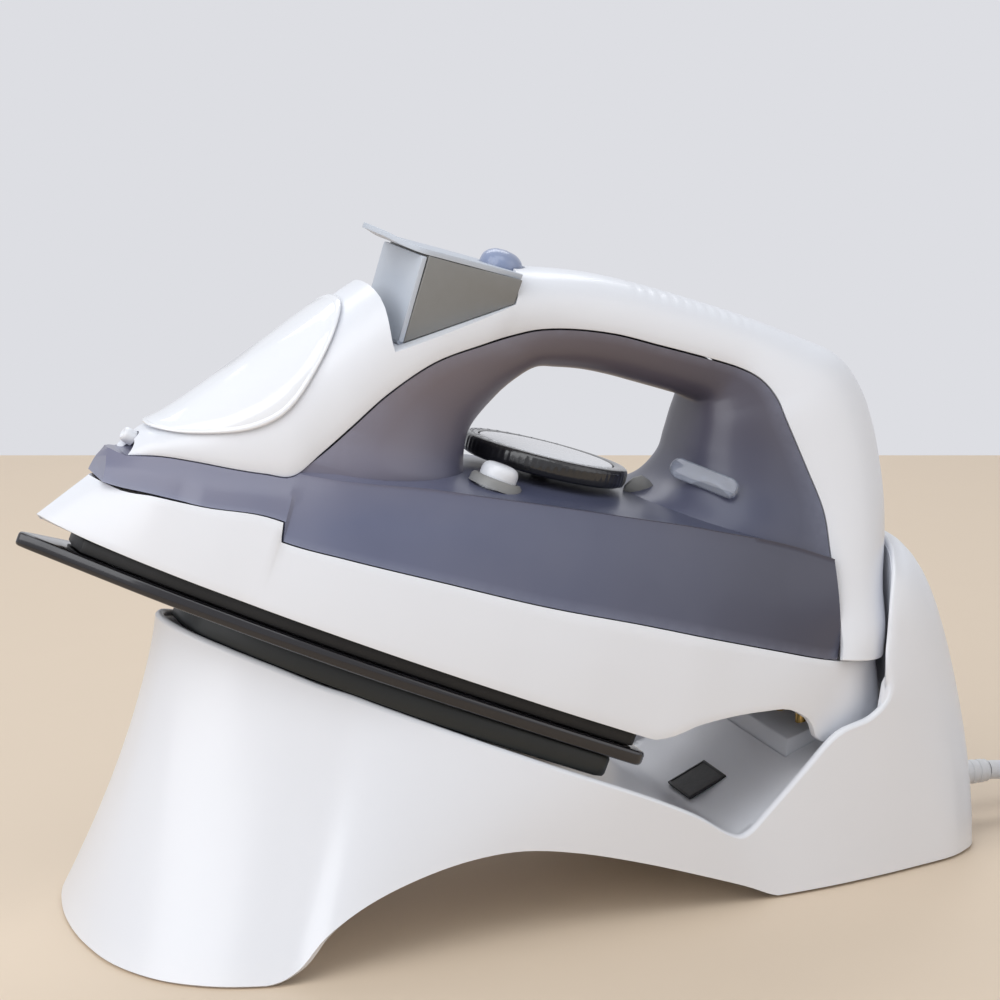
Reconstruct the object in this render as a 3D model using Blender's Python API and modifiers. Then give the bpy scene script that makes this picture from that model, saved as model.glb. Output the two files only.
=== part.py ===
"""Cordless steam iron resting nose-up on its charging stand, modelled as separate pieces.

The iron is drawn in its own frame: its origin is the tip of the soleplate's underside, +X runs to the heel
and +Z stands square on the soleplate. The stand is drawn in the world frame. Lengths are in millimetres and
are scaled to metres where a mesh is made.
"""
import math

import bmesh
import bpy
from mathutils import Matrix, Vector

MM = 0.001
GAP = 0.4                       # room between two neighbouring pieces
WALL = 2.2                      # moulded wall
PITCH = math.radians(22)        # the docked iron leans back by this much
TIP = (-162.0, 0.0, 125.2)      # the soleplate's tip in the world
SOLE_THICK = 4.5
CASTING_TOP = 14.0
DIAL_CENTRE = (154.5, 0.0, 78.0)
DIAL_TILT = math.radians(-7)
DIAL_R = 27.5
THERMOSTAT_X = 161.5
STEAM_BUTTON = (130.0, -28.0)
SPRAY_BUTTON_X = 117.0
SPRAY_BUTTON_R = 7.0
FOOT_CLEAR = 1.0                # the stand's wall ends this far above the floor
CONTACT_X = 98.0
NOZZLE = (22.0, 0.0, 42.5)
NOZZLE_TILT = math.radians(-78)
CONTACT_YS = (-15.0, 0.0, 15.0)
EXIT = (178.3, 0.0, 15.5)       # where the cord leaves its strain relief
CORD_R = 3.4
COIL = (228.0, -38.0)
COIL_MEAN_R = 37.5
COIL_BOTTOM = 1.8
COIL_HEIGHT = 18.8

WHITE = (0.86, 0.87, 0.90)
TANK = (0.33, 0.36, 0.47)
GREY = (0.48, 0.48, 0.46)
BLACK = (0.03, 0.03, 0.035)
METAL = (0.62, 0.62, 0.64)
COPPER = (0.75, 0.5, 0.3)

# Half-widths of the soleplate and of the body above it, along the iron.
SOLE_PLAN = [(0, 0.6), (4, 3.6), (10, 7.0), (22, 14), (40, 24), (58, 32), (80, 40.5), (110, 48), (140, 52.5),
             (168, 55), (190, 56)]
BODY_PLAN = [(3.5, 0), (7, 5.5), (12, 10), (20, 16), (32, 23.5), (48, 31), (66.6, 38), (68.0, 38.6),
             (90, 45.5), (115, 51), (145, 55), (175, 57), (200, 57), (222, 54.5), (240, 51.3), (254, 47.5),
             (266, 43), (274, 37.5), (280, 29), (283.5, 18), (285, 0)]
# Height of the line between white skirt and tank.
SEAM = [(3.5, 27.6), (15, 27.6), (30, 29.9), (44, 32.1), (62, 36), (66.6, 36.2), (68.0, 30.4), (88, 32.1),
        (116, 35), (148, 38), (183, 42.5), (232, 47.5), (256, 49.8), (285, 56.4)]
# Lower edge of the skirt, which arches up behind the soleplate and comes down again as the heel's foot.
HEM = [(3.5, 11), (20, 10), (60, 9.6), (198, 9.6), (205, 12.5), (213, 18.3), (234, 28), (245, 31),
       (254, 29.5), (262, 23.5), (267, 26), (285, 45)]
# The white ribbon in side view: inner edge x, z, outer line x, z, half-width at the inner edge.
RIBBON = [(21.5, 37.6, 23.2, 42.4, 8), (30, 41, 26, 46.5, 13.5), (40, 43.3, 33, 53, 18),
          (50, 45.2, 41, 63.5, 22.5), (59, 47.2, 49, 74.5, 25.8), (67, 49.6, 56, 84.5, 28),
          (73, 59, 63, 94.5, 28), (79, 69.5, 70, 104, 28), (87, 83, 80, 116, 27.2),
          (98, 96.5, 96, 126.5, 26), (112, 106.8, 112, 131, 23.5), (121, 112.3, 124, 133.5, 20.5),
          (130, 117, 134, 136.2, 18.5), (142, 121, 145, 138.8, 17.2), (156, 124, 158, 140.8, 16.8),
          (170, 125.4, 172, 142.2, 16.8), (187, 127, 188, 143.3, 17), (200, 127.8, 203, 144, 17.5),
          (208, 126.8, 222, 144, 19.5), (214.5, 123, 238, 143.2, 22), (219.5, 117, 249, 137, 25),
          (230, 105.5, 258, 126.5, 28.5), (240, 94, 266.5, 112, 32), (246, 82, 272.5, 98, 35.5),
          (253, 67, 277.5, 80, 40), (257, 57, 282.3, 68, 44), (258.5, 51.1, 285, 57.4, 46)]
# The edge of the finger opening, one point for each ribbon section from the eighth on.
OPENING = [(124, 68.8), (122.8, 80), (127, 92), (131.5, 99.5), (137, 104.8), (144, 107), (153, 109.2),
           (163, 110.6), (173, 111.4), (184, 112.2), (191, 112.6), (194, 112.4), (194.6, 110),
           (195.2, 106), (196, 99), (197, 92), (198, 82)]
# Tank: x, half-width and height of the shoulder's crease, height of the deck's middle.
SHOULDER = [(15, 1, 36, 37), (20, 8, 38, 39), (30, 13.6, 41.4, 42), (50, 22.6, 46, 47), (67, 28.6, 50.4, 52),
            (82, 35, 54, 62), (106, 39, 60, 65), (124, 41.5, 63.6, 67.4), (153, 43, 69, 72.6),
            (173, 44, 72.5, 75.4), (194, 44, 76, 78.6), (232, 40, 80, 80.4), (250, 38, 80.4, 81.2),
            (264, 36, 81, 81.5)]
# Stand: for each station round the near half, the wall's lower point and its rim.
STAND = [((-149, 0, 0), (-118.1, 0, 98)), ((-147.6, -19, 0), (-116.5, -9, 97.4)),
         ((-143, -38, 0), (-111, -17, 95.1)), ((-133, -54.5, 0), (-101, -25, 91.1)),
         ((-119, -65, 0), (-89, -31.5, 86.2)), ((-104, -70, 0), (-77, -36.8, 81)),
         ((-94.5, -70.6, 3.5), (-68, -40, 77.7)), ((-85, -70, 13), (-59, -43.4, 74)),
         ((-71, -67.8, 20.5), (-48, -47.3, 69.6)), ((-54, -64.8, 25.5), (-34, -51.3, 64)),
         ((-36, -62, 28.3), (-19, -54.4, 58)), ((-18, -59.8, 28.3), (-3, -56.6, 51.5)),
         ((2, -58.3, 24.5), (12, -57.8, 45.5)), ((24, -57, 18), (27, -57.6, 39)),
         ((44, -55.6, 11), (42, -56.6, 31.5)), ((60, -54.2, 5), (54, -55, 23.8)),
         ((72, -53.2, 0), (61, -53.6, 22.8)), ((82, -52.3, 0), (70, -52.2, 30)),
         ((94, -50.8, 0), (82, -51, 41)), ((106, -48.7, 0), (94, -49.7, 51.5)),
         ((118, -46.2, 0), (107, -48.3, 55.5)), ((131, -43, 0), (114.3, -46.8, 63)),
         ((142, -40, 0), (115.3, -44.5, 77)), ((149.5, -36, 0), (117.5, -41.5, 92)),
         ((156.5, -29.5, 0), (121, -35.8, 102)), ((160.5, -17.5, 0), (125.8, -23.3, 106.6)),
         ((162.2, 0, 0), (130.8, 0, 107.3))]
# Height of the stand's deck along its middle.
DECK = [(-118, 96.6), (-60, 72), (0, 47.5), (40, 29), (58, 20.5), (74, 28), (90, 38.5), (108, 44.5),
        (128, 47.8)]


def between(table, x, column=1):
    """Value of a column of a table at x, on straight lines between its rows."""
    if x <= table[0][0]:
        return table[0][column]
    for low, high in zip(table, table[1:]):
        if x <= high[0]:
            part = (x - low[0]) / (high[0] - low[0])
            return low[column] + part * (high[column] - low[column])
    return table[-1][column]


def clear_scene():
    for item in list(bpy.data.objects):
        bpy.data.objects.remove(item, do_unlink=True)


def collection(name):
    group = bpy.data.collections.new(name)
    bpy.context.scene.collection.children.link(group)
    return group


clear_scene()
PARTS = collection("cordless_iron")
CUTTERS = collection("cutters")

IRON_FRAME = bpy.data.objects.new("iron_frame", None)
IRON_FRAME.location = Vector(TIP) * MM
IRON_FRAME.rotation_euler = (0, PITCH, 0)
PARTS.objects.link(IRON_FRAME)


def material(name, colour, roughness, metallic):
    finish = bpy.data.materials.new(name)
    finish.use_nodes = True
    shader = finish.node_tree.nodes["Principled BSDF"]
    shader.inputs["Base Color"].default_value = (*colour, 1)
    shader.inputs["Roughness"].default_value = roughness
    shader.inputs["Metallic"].default_value = metallic
    return finish


def keep(item, colour, roughness=0.4, metallic=0.0, iron=False):
    """Make an object a finished piece with its own material."""
    for group in list(item.users_collection):
        group.objects.unlink(item)
    PARTS.objects.link(item)
    item.data.materials.clear()
    item.data.materials.append(material(item.name, colour, roughness, metallic))
    if iron:
        item.parent = IRON_FRAME
    return item


def cutter(item, iron=False):
    for group in list(item.users_collection):
        group.objects.unlink(item)
    CUTTERS.objects.link(item)
    item.hide_render = True
    item.display_type = 'WIRE'
    if iron:
        item.parent = IRON_FRAME
    return item


def mesh_object(name, grid):
    """Object from a bmesh, in the scene's own collection until keep or cutter takes it."""
    mesh = bpy.data.meshes.new(name)
    grid.to_mesh(mesh)
    grid.free()
    item = bpy.data.objects.new(name, mesh)
    bpy.context.scene.collection.objects.link(item)
    return item


def loft(name, rows, close_rows=False, caps=False):
    """Surface through rows of points, each row as long as the next."""
    grid = bmesh.new()
    points = [[grid.verts.new(Vector(p) * MM) for p in row] for row in rows]
    wide = len(rows[0])
    columns = wide if close_rows else wide - 1
    for low, high in zip(points, points[1:]):
        for k in range(columns):
            m = (k + 1) % wide
            grid.faces.new((low[k], low[m], high[m], high[k]))
    if caps:
        grid.faces.new(list(reversed(points[0])))
        grid.faces.new(points[-1])
    bmesh.ops.remove_doubles(grid, verts=grid.verts, dist=0.00001)
    bmesh.ops.dissolve_degenerate(grid, edges=grid.edges, dist=0.00001)
    bmesh.ops.recalc_face_normals(grid, faces=grid.faces)
    return mesh_object(name, grid)


def solidify(item, thick, offset=-1):
    made = item.modifiers.new("wall", 'SOLIDIFY')
    made.thickness = thick * MM
    made.offset = offset
    made.use_even_offset = True
    made.use_quality_normals = True


def mirror(item):
    made = item.modifiers.new("other_half", 'MIRROR')
    made.use_axis = (False, True, False)
    made.merge_threshold = 0.0001


def boolean(item, other, operation='DIFFERENCE'):
    made = item.modifiers.new(operation.lower(), 'BOOLEAN')
    made.operation = operation
    made.object = other
    made.solver = 'EXACT'


def as_mesh(item, name):
    """Replace a curve with the mesh it evaluates to, its caps welded on."""
    graph = bpy.context.evaluated_depsgraph_get()
    mesh = bpy.data.meshes.new_from_object(item.evaluated_get(graph))
    grid = bmesh.new()
    grid.from_mesh(mesh)
    bmesh.ops.remove_doubles(grid, verts=grid.verts, dist=0.000001)
    bmesh.ops.recalc_face_normals(grid, faces=grid.faces)
    grid.to_mesh(mesh)
    grid.free()
    made = bpy.data.objects.new(name, mesh)
    bpy.context.scene.collection.objects.link(made)
    made.matrix_world = item.matrix_world.copy()
    bpy.data.objects.remove(item, do_unlink=True)
    return made


def slab(name, outline, low, high, side=False):
    """Flat outline given thickness: lying between two heights, or standing between two y values."""
    curve = bpy.data.curves.new(name, 'CURVE')
    curve.dimensions = '2D'
    curve.fill_mode = 'BOTH'
    curve.extrude = (high - low) / 2 * MM
    line = curve.splines.new('POLY')
    line.points.add(len(outline) - 1)
    line.use_cyclic_u = True
    for point, (x, y) in zip(line.points, outline):
        point.co = (x * MM, y * MM, 0, 1)
    item = bpy.data.objects.new(name + "_outline", curve)
    bpy.context.scene.collection.objects.link(item)
    middle = (low + high) / 2 * MM
    if side:
        item.rotation_euler = (math.pi / 2, 0, 0)
        item.location = (0, middle, 0)
    else:
        item.location = (0, 0, middle)
    bpy.context.view_layer.update()
    made = as_mesh(item, name)
    made.data.transform(made.matrix_world)
    made.matrix_world = Matrix.Identity(4)
    return made


def box(name, low, high):
    size = [h - l for l, h in zip(low, high)]
    bpy.ops.mesh.primitive_cube_add(size=1, location=[(l + h) / 2 * MM for l, h in zip(low, high)])
    item = bpy.context.object
    item.name = name
    item.data.transform(Matrix.Diagonal([s * MM for s in size] + [1]))
    return item


def disc(name, radius, low, high, x, y, sides=16, top=None):
    """Upright cylinder or, with a top radius, a cone."""
    bpy.ops.mesh.primitive_cone_add(vertices=sides, radius1=radius * MM, depth=(high - low) * MM,
                                    radius2=(radius if top is None else top) * MM,
                                    location=(x * MM, y * MM, (low + high) / 2 * MM))
    item = bpy.context.object
    item.name = name
    return item


def turned(name, profile, centre, sides=24):
    """Profile of radius and height, turned about an upright axis; it is closed, or starts and ends there."""
    area = sum(a[0] * b[1] - b[0] * a[1] for a, b in zip(profile, profile[1:] + profile[:1]))
    if area > 0:
        profile = profile[::-1]
    mesh = bpy.data.meshes.new(name)
    points = [(r * MM, 0, z * MM) for r, z in profile]
    ring = list(range(len(points))) + [0]
    edges = [(a, b) for a, b in zip(ring, ring[1:]) if profile[a][0] > 0 or profile[b][0] > 0]
    mesh.from_pydata(points, edges, [])
    item = bpy.data.objects.new(name, mesh)
    bpy.context.scene.collection.objects.link(item)
    item.location = Vector(centre) * MM
    made = item.modifiers.new("turn", 'SCREW')
    made.steps = sides
    made.render_steps = sides
    made.use_merge_vertices = True
    made.merge_threshold = 0.00001
    return item


def tube(name, points, radius, sides=2):
    curve = bpy.data.curves.new(name, 'CURVE')
    curve.dimensions = '3D'
    curve.bevel_depth = radius * MM
    curve.bevel_resolution = sides
    curve.use_fill_caps = True
    line = curve.splines.new('POLY')
    line.points.add(len(points) - 1)
    for point, place in zip(line.points, points):
        point.co = (*(Vector(place) * MM), 1)
    item = bpy.data.objects.new(name, curve)
    bpy.context.scene.collection.objects.link(item)
    return item


def smooth(points, steps):
    """Points on a Catmull-Rom curve through the given ones, with steps pieces in each span."""
    knots = [Vector(p) for p in points]
    ends = [2 * knots[0] - knots[1]] + knots + [2 * knots[-1] - knots[-2]]
    line = []
    for k in range(1, len(ends) - 2):
        a, b, c, d = ends[k - 1:k + 3]
        for j in range(steps):
            t = j / steps
            line.append(0.5 * (2 * b + (c - a) * t + (2 * a - 5 * b + 4 * c - d) * t * t
                               + (3 * b - a - 3 * c + d) * t ** 3))
    line.append(knots[-1])
    return line


def inset_plan(plan, inset, first, last):
    """Closed outline of a plan given as half-widths, shrunk by an inset."""
    half = [(x, w - inset) for x, w in plan if first < x < last and w > inset + 1]
    half = [(first, 0.8)] + half + [(last, between(plan, last) - inset)]
    return half + [(x, -w) for x, w in reversed(half)]


# ---------------------------------------------------------------- soleplate and what it carries

def make_soleplate():
    plate = slab("soleplate", inset_plan(SOLE_PLAN, 0, 0.0, 199.5), 0, SOLE_THICK)
    for k, x in enumerate((58, 84, 112, 142, 172)):
        for side in (-1, 1):
            y = side * (between(SOLE_PLAN, x) - 14)
            hole = cutter(disc(f"vent_{k}_{side}", 2, -2, SOLE_THICK + 2, x, y, 8), True)
            boolean(plate, hole)
    keep(plate, BLACK, 0.15, 0.6, True)


def make_heat_shield():
    outer = slab("heat_shield", inset_plan(SOLE_PLAN, 3, 20.0, 196.0), SOLE_THICK + GAP, 9.0)
    inner = slab("shield_hollow", inset_plan(SOLE_PLAN, 6, 30.0, 193.0), SOLE_THICK - 2, 12.0)
    boolean(outer, cutter(inner, True))
    keep(outer, BLACK, 0.5, 0, True)


SOLE_SCREWS = [(165, 38), (165, -38)]
HEATER_PATH = [(186, 22, 0), (150, 24, 0), (110, 20, 0), (74, 10, 0), (62, 0, 0), (74, -10, 0),
               (110, -20, 0), (150, -24, 0), (186, -22, 0)]


def heater_line(name, radius, height):
    points = [Vector(p) + Vector((0, 0, height)) for p in HEATER_PATH]
    return tube(name, smooth(points, 3), radius, 1)


def make_casting():
    block = slab("sole_casting", inset_plan(SOLE_PLAN, 7, 34.0, 192.0), SOLE_THICK + GAP, CASTING_TOP)
    groove = as_mesh(heater_line("groove_line", 3.8, CASTING_TOP - 0.5), "heater_groove")
    boolean(block, cutter(groove, True))
    for k, (x, y) in enumerate(SOLE_SCREWS):
        boolean(block, cutter(disc(f"screw_hole_{k}", 1.9, 8, 20, x, y, 10), True))
    keep(block, METAL, 0.5, 0.8, True)


def make_heater():
    line = heater_line("heating_element", 3.2, CASTING_TOP - 0.3)
    keep(line, METAL, 0.35, 1.0, True)


def make_steam_cover():
    outline = [(82, -4), (100, -10), (136, -15), (136, 15), (100, 10), (82, 4)]
    keep(slab("steam_chamber_cover", outline, CASTING_TOP + GAP, CASTING_TOP + 2), METAL, 0.4, 0.9, True)


def on_dial_axis(item):
    """Put a piece drawn upright about the origin on the dial's leaning axis."""
    item.data.transform(Matrix.Translation(item.location))
    item.location = Vector(DIAL_CENTRE) * MM
    item.rotation_euler = (0, DIAL_TILT, 0)
    return item


def make_thermostat():
    base = disc("thermostat", 9, CASTING_TOP + GAP, 21, THERMOSTAT_X, 0, 16, 8)
    keep(base, (0.85, 0.83, 0.78), 0.6, 0, True)
    keep(on_dial_axis(disc("thermostat_spindle", 3, -56, -3.6, 0, 0, 12)), WHITE, 0.5, 0, True)
    fuse = box("thermal_fuse", (173, -4, CASTING_TOP + GAP), (186, 4, 20))
    keep(fuse, METAL, 0.4, 0.9, True)


# ---------------------------------------------------------------- skirt, tank, ribbon, liner

HEEL_LEAN = 0.6


def heel_web():
    """Floor of the skirt behind the soleplate, following its arched hem up to the terminal block."""
    rows = []
    for x in (203, 208, 213, 224, 234, 245, 254, 257):
        wide = between(BODY_PLAN, x) - 1.4
        height = between(HEM, x) + 1.2
        rows.append([(x, -wide, height), (x, 0, height), (x, wide, height)])
    web = loft("heel_web", rows)
    solidify(web, 1.8, 1)
    return cutter(web, True)


def make_lower_body():
    rows = []
    for x, width in BODY_PLAN:
        nose = max(0.0, 1 - (x - 3.5) / 26)
        hem = between(HEM, x)
        top = between(SEAM, x) - GAP / 2
        lean = 11 * nose - HEEL_LEAN * (top - hem) * max(0.0, (x - 262) / 23)
        upper = width * (0.93 if x > 40 else 0.99 - 0.06 * (x - 3.5) / 36.5)
        start = x - min(0.0, lean)
        rows.append([(start, -width, hem), (start + lean * 0.5, -(width + upper) / 2 - 0.4 * (width > 1),
                     (hem + top) / 2), (start + lean, -upper, top)])
    skirt = loft("lower_body", rows)
    mirror(skirt)
    solidify(skirt, WALL)
    boolean(skirt, heel_web(), 'UNION')
    keep(skirt, WHITE, 0.3, 0, True)


def tank_solid(name, inset):
    """Closed tank form, drawn smaller by an inset: floor, leaning side and domed deck."""
    rows = []
    stations = [16.5, 22, 32, 48, 67.2, 68.6, 82, 106, 124, 153, 173, 194, 214, 232, 250, 262]
    for x in stations:
        wide = between(BODY_PLAN, max(3.5, x - 3 * (x < 40))) * 0.93 - 0.2 - inset
        low = between(SEAM, x - 0.6) + GAP / 2 + inset
        crease = between(SHOULDER, x, 1) - inset
        shoulder = between(SHOULDER, x, 2) - inset
        deck = between(SHOULDER, x, 3) - inset
        mid_y = (wide + crease) / 2 + 1.0
        mid_z = (low + shoulder) / 2
        half = [(x, -wide, low), (x, -mid_y, mid_z), (x, -crease, shoulder),
                (x, -crease * 0.6, shoulder * 0.35 + deck * 0.65)]
        rows.append(half + [(x, 0, deck)] + [(x, -y, z) for _, y, z in reversed(half)])
    if inset:
        rows = [[(p[0] + inset * (k == 0), p[1], p[2]) for p in row] for k, row in enumerate(rows)]
    return loft(name, rows, close_rows=True, caps=True)


def ribbon_region(name, grow):
    """Everything on the ribbon's side of its inner edge, as a wide prism that cuts the pieces within."""
    inner = [Vector((x, z)) for x, z, *_ in RIBBON]
    edge = []
    for k, point in enumerate(inner):
        along = inner[min(k + 1, len(inner) - 1)] - inner[max(k - 1, 0)]
        along.normalize()
        edge.append((point.x + along.y * grow, point.y - along.x * grow))
    edge.append((262 - grow, 30))
    outside = [(330, 30), (330, 200), (0, 200), (0, 37.5 - grow)]
    return cutter(slab(name, edge + outside, -90, 90, side=True), True)


def make_tank():
    tank = tank_solid("water_tank", 0)
    boolean(tank, ribbon_region("ribbon_side", GAP + 0.3))
    hollow = cutter(tank_solid("tank_hollow", WALL), True)
    boolean(hollow, ribbon_region("ribbon_side_in", GAP + WALL))
    boolean(tank, hollow)
    sleeve = cutter(on_dial_axis(disc("spindle_sleeve", 6.0, -38.0, -6.0, 0, 0, 12)), True)
    boolean(tank, sleeve, 'UNION')
    boolean(tank, cutter(on_dial_axis(disc("spindle_bore", 3.5, -60, 12, 0, 0, 12)), True))
    x, y = STEAM_BUTTON
    boolean(tank, cutter(disc("button_hole", 6.2, 60, 84, x, y, 16), True))
    boolean(tank, cutter(disc("valve_hole", 2.0, 30, 45, x, y, 8), True))
    boolean(tank, cutter(disc("filler_hole", 7.8, 54, 75, 88, 0, 12), True))
    keep(tank, TANK, 0.2, 0, True)


def ribbon_section(row, power, steps):
    """Half ring from the near inner edge over the outer line to the far inner edge."""
    ix, iz, ox, oz, wide = row
    points = []
    for k in range(steps + 1):
        turn = math.pi * (k / steps - 0.5)
        out = abs(math.cos(turn)) ** power
        side = math.copysign(abs(math.sin(turn)) ** power, turn) * wide
        points.append((ix + (ox - ix) * out, side, iz + (oz - iz) * out))
    return points


NOTCH = [(73.5, 116), (75.8, 111.3), (78.8, 106.5), (80.4, 102.8), (82, 99.2), (84.4, 95.2), (118.6, 121.6),
         (118.6, 150), (50, 150)]


def make_upper_shell():
    shell = loft("upper_shell", [ribbon_section(row, 0.8, 10) for row in RIBBON])
    solidify(shell, WALL)
    boolean(shell, cutter(slab("neck_notch", NOTCH, -60, 60, side=True), True))
    hole = disc("nozzle_hole", 2.9, -6, 6, 0, 0, 16)
    hole.data.transform(Matrix.Translation(hole.location))
    hole.location = Vector(NOZZLE) * MM
    hole.rotation_euler = (0, NOZZLE_TILT, 0)
    boolean(shell, cutter(hole, True))
    boolean(shell, cutter(disc("spray_hole", SPRAY_BUTTON_R + 0.5, 118, 150, SPRAY_BUTTON_X, 0, 16), True))
    keep(shell, WHITE, 0.3, 0, True)


def liner_row(row, edge):
    """Ribbon section turned round to face the finger opening, starting a gap inside the ribbon."""
    ix, iz, _, _, wide = row
    start = Vector((ix, iz))
    way = Vector(edge) - start
    start += way.normalized() * (GAP + 0.2)
    return (start.x, start.y, edge[0], edge[1], wide)


def make_liner():
    rows = [liner_row(row, edge) for row, edge in zip(RIBBON[7:24], OPENING)]
    liner = loft("handle_liner", [ribbon_section(row, 0.7, 8) for row in rows])
    solidify(liner, 2.0)
    boolean(liner, ribbon_region("ribbon_side_liner", GAP))
    keep(liner, TANK, 0.25, 0, True)


# ---------------------------------------------------------------- front panel, neck, filler, spray

def hood_point(part, lean):
    """Point on the hood's outer surface: part runs along it, lean goes round it from the middle."""
    spot = part * 6
    low = min(int(spot), 5)
    t = spot - low
    row = [a + (b - a) * t for a, b in zip(RIBBON[1 + low], RIBBON[2 + low])]
    out = math.cos(lean) ** 0.8
    side = math.copysign(abs(math.sin(lean)) ** 0.8, lean) * row[4]
    return Vector((row[0] + (row[2] - row[0]) * out, side, row[1] + (row[3] - row[1]) * out))


PANEL_LIFT = 1.6


def make_front_panel():
    rows = []
    for ring in (0.02, 0.5, 1.0):
        points = []
        for k in range(16):
            turn = 2 * math.pi * k / 16
            along = 0.52 + 0.5 * ring * math.cos(turn)
            lean = 1.14 * ring * math.sin(turn) * (1 - 0.12 * ring * math.cos(turn))
            out = Vector((-0.85 * math.cos(lean), math.sin(lean), 0.53 * math.cos(lean)))
            points.append(hood_point(along, lean) + out * PANEL_LIFT)
        rows.append(points)
    panel = loft("front_panel", rows, close_rows=True)
    solidify(panel, 1.2, 1)
    keep(panel, (0.9, 0.92, 0.95), 0.08, 0, True)


BLOCK_SIDE = [(88.6, 99.2), (118.0, 121.9), (118.0, 129.0), (86.3, 126.0)]
# Visor over the block: x, half-width, height of its top.
VISOR = [(70, 3, 128.8), (74.5, 9, 128.6), (79, 14.5, 127.9), (84, 19, 127.8), (100, 19.6, 129.4),
         (118.2, 17.5, 131.0)]
VISOR_THICK = 1.6


def make_neck():
    block = slab("neck_block", BLOCK_SIDE, -19.5, 19.5, side=True)
    hollow = [(91.6, 97), (121, 119), (116, 124.8), (89.2, 124.8), (91.3, 104)]
    boolean(block, cutter(slab("block_hollow", hollow, -17, 17, side=True), True))
    boolean(block, cutter(box("filler_mouth", (84, -13, 103), (95, 13, 122)), True))
    boolean(block, cutter(disc("block_bore", SPRAY_BUTTON_R + 0.5, 112, 150, SPRAY_BUTTON_X, 0, 16), True))
    keep(block, GREY, 0.45, 0, True)
    rows = [[(x, -w, z - VISOR_THICK), (x, w, z - VISOR_THICK), (x, w, z), (x, -w, z)] for x, w, z in VISOR]
    cap = loft("neck_cap", rows, close_rows=True, caps=True)
    boolean(cap, cutter(disc("cap_hole", SPRAY_BUTTON_R + 0.5, 120, 150, SPRAY_BUTTON_X, 0, 16), True))
    keep(cap, GREY, 0.4, 0, True)


LID_HINGE = (87.5, 0.0, 98.5)
LID_LEAN = math.radians(-5)


def make_filler():
    lid = box("filler_lid", (-0.9, -19.2, 0.0), (0.7, 19.2, 27))
    lid.data.transform(Matrix.Translation(lid.location))
    lid.location = Vector(LID_HINGE) * MM
    lid.rotation_euler = (0, LID_LEAN, 0)
    keep(lid, (0.72, 0.75, 0.79), 0.35, 0, True)
    bpy.ops.mesh.primitive_cylinder_add(vertices=10, radius=1.0 * MM, depth=37 * MM,
                                        rotation=(math.pi / 2, 0, 0), location=Vector(LID_HINGE) * MM)
    bpy.context.object.name = "lid_barrel"
    boolean(lid, cutter(bpy.context.object, True), 'UNION')
    funnel = turned("filler_neck", [(9.2, 92), (7.4, 84), (7.4, 58), (6.2, 58), (6.2, 84), (8.0, 92)],
                    (88, 0, 0), 12)
    keep(funnel, (0.8, 0.8, 0.82), 0.5, 0, True)


def make_spray():
    x = SPRAY_BUTTON_X
    dome = [(0, 12.0), (3.5, 11.4), (6, 9.7), (SPRAY_BUTTON_R, 7), (SPRAY_BUTTON_R, 0), (0, 0)]
    button = turned("spray_button", dome, (x, 0, 124.5), 16)
    keep(button, (0.45, 0.5, 0.62), 0.3, 0, True)
    rod = [(1.8, 124.1), (1.8, 112), (4.0, 111.6), (4.0, 106), (0, 106), (0, 124.1)]
    piston = turned("spray_piston", rod, (x, 0, 0), 12)
    keep(piston, WHITE, 0.5, 0, True)
    pump = turned("spray_pump_body", [(6, 116), (6, 90), (0, 90), (0, 92), (4.06, 92), (4.06, 114.4),
                                      (3.2, 116)], (x, 0, 0), 12)
    keep(pump, WHITE, 0.5, 0, True)
    turns = [(x + 2.9 * math.cos(a), 2.9 * math.sin(a), 92.8 + 12.4 * a / (8 * math.pi))
             for a in [2 * math.pi * k / 7 for k in range(29)]]
    keep(tube("pump_spring", turns, 0.4, 0), METAL, 0.3, 1, True)
    route = [(x - 6.4, 9, 88), (104, 9, 88), (94, 11, 86), (76, 11, 74), (50, 6, 56), (27, 0, 42.6)]
    keep(tube("spray_tube", smooth(route, 2), 1.6, 1), (0.85, 0.86, 0.88), 0.4, 0, True)
    nozzle = disc("spray_nozzle", 2.4, -2.0, 2.0, 0, 0, 12, 2.0)
    nozzle.location = Vector(NOZZLE) * MM
    nozzle.rotation_euler = (0, NOZZLE_TILT, 0)
    keep(nozzle, WHITE, 0.3, 0, True)


# ---------------------------------------------------------------- dial, steam button, lens

def make_dial():
    profile = [(26.3, 3.3), (DIAL_R, 2.2), (DIAL_R, -1.6), (25.5, -3.2), (0, -3.2), (0, 1.9), (22.6, 1.9),
               (22.6, 3.3)]
    ring = turned("dial", profile, DIAL_CENTRE, 32)
    ring.rotation_euler = (0, DIAL_TILT, 0)
    keep(ring, BLACK, 0.35, 0, True)
    cap = turned("dial_cap", [(22.2, 3.0), (22.2, 2.2), (0, 2.2), (0, 4.0), (12, 3.9)], DIAL_CENTRE, 24)
    cap.rotation_euler = (0, DIAL_TILT, 0)
    keep(cap, (0.85, 0.86, 0.88), 0.05, 0, True)


def make_steam_button():
    x, y = STEAM_BUTTON
    crown = [(4.2, 6.6), (5.4, 5.6), (6.0, 3.4), (6.0, -3), (0, -3), (0, 6.9)]
    button = turned("steam_button", crown, (x, y, 67), 16)
    keep(button, (0.9, 0.9, 0.92), 0.25, 0, True)
    rod = disc("steam_valve_rod", 1.5, 20, 63.6, x, y, 10)
    keep(rod, METAL, 0.4, 0.8, True)
    turns = [(x + 3.4 * math.cos(a), y + 3.4 * math.sin(a), 50 + 13.2 * a / (8 * math.pi))
             for a in [2 * math.pi * k / 7 for k in range(29)]]
    keep(tube("valve_spring", turns, 0.4, 0), METAL, 0.3, 1, True)


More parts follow.
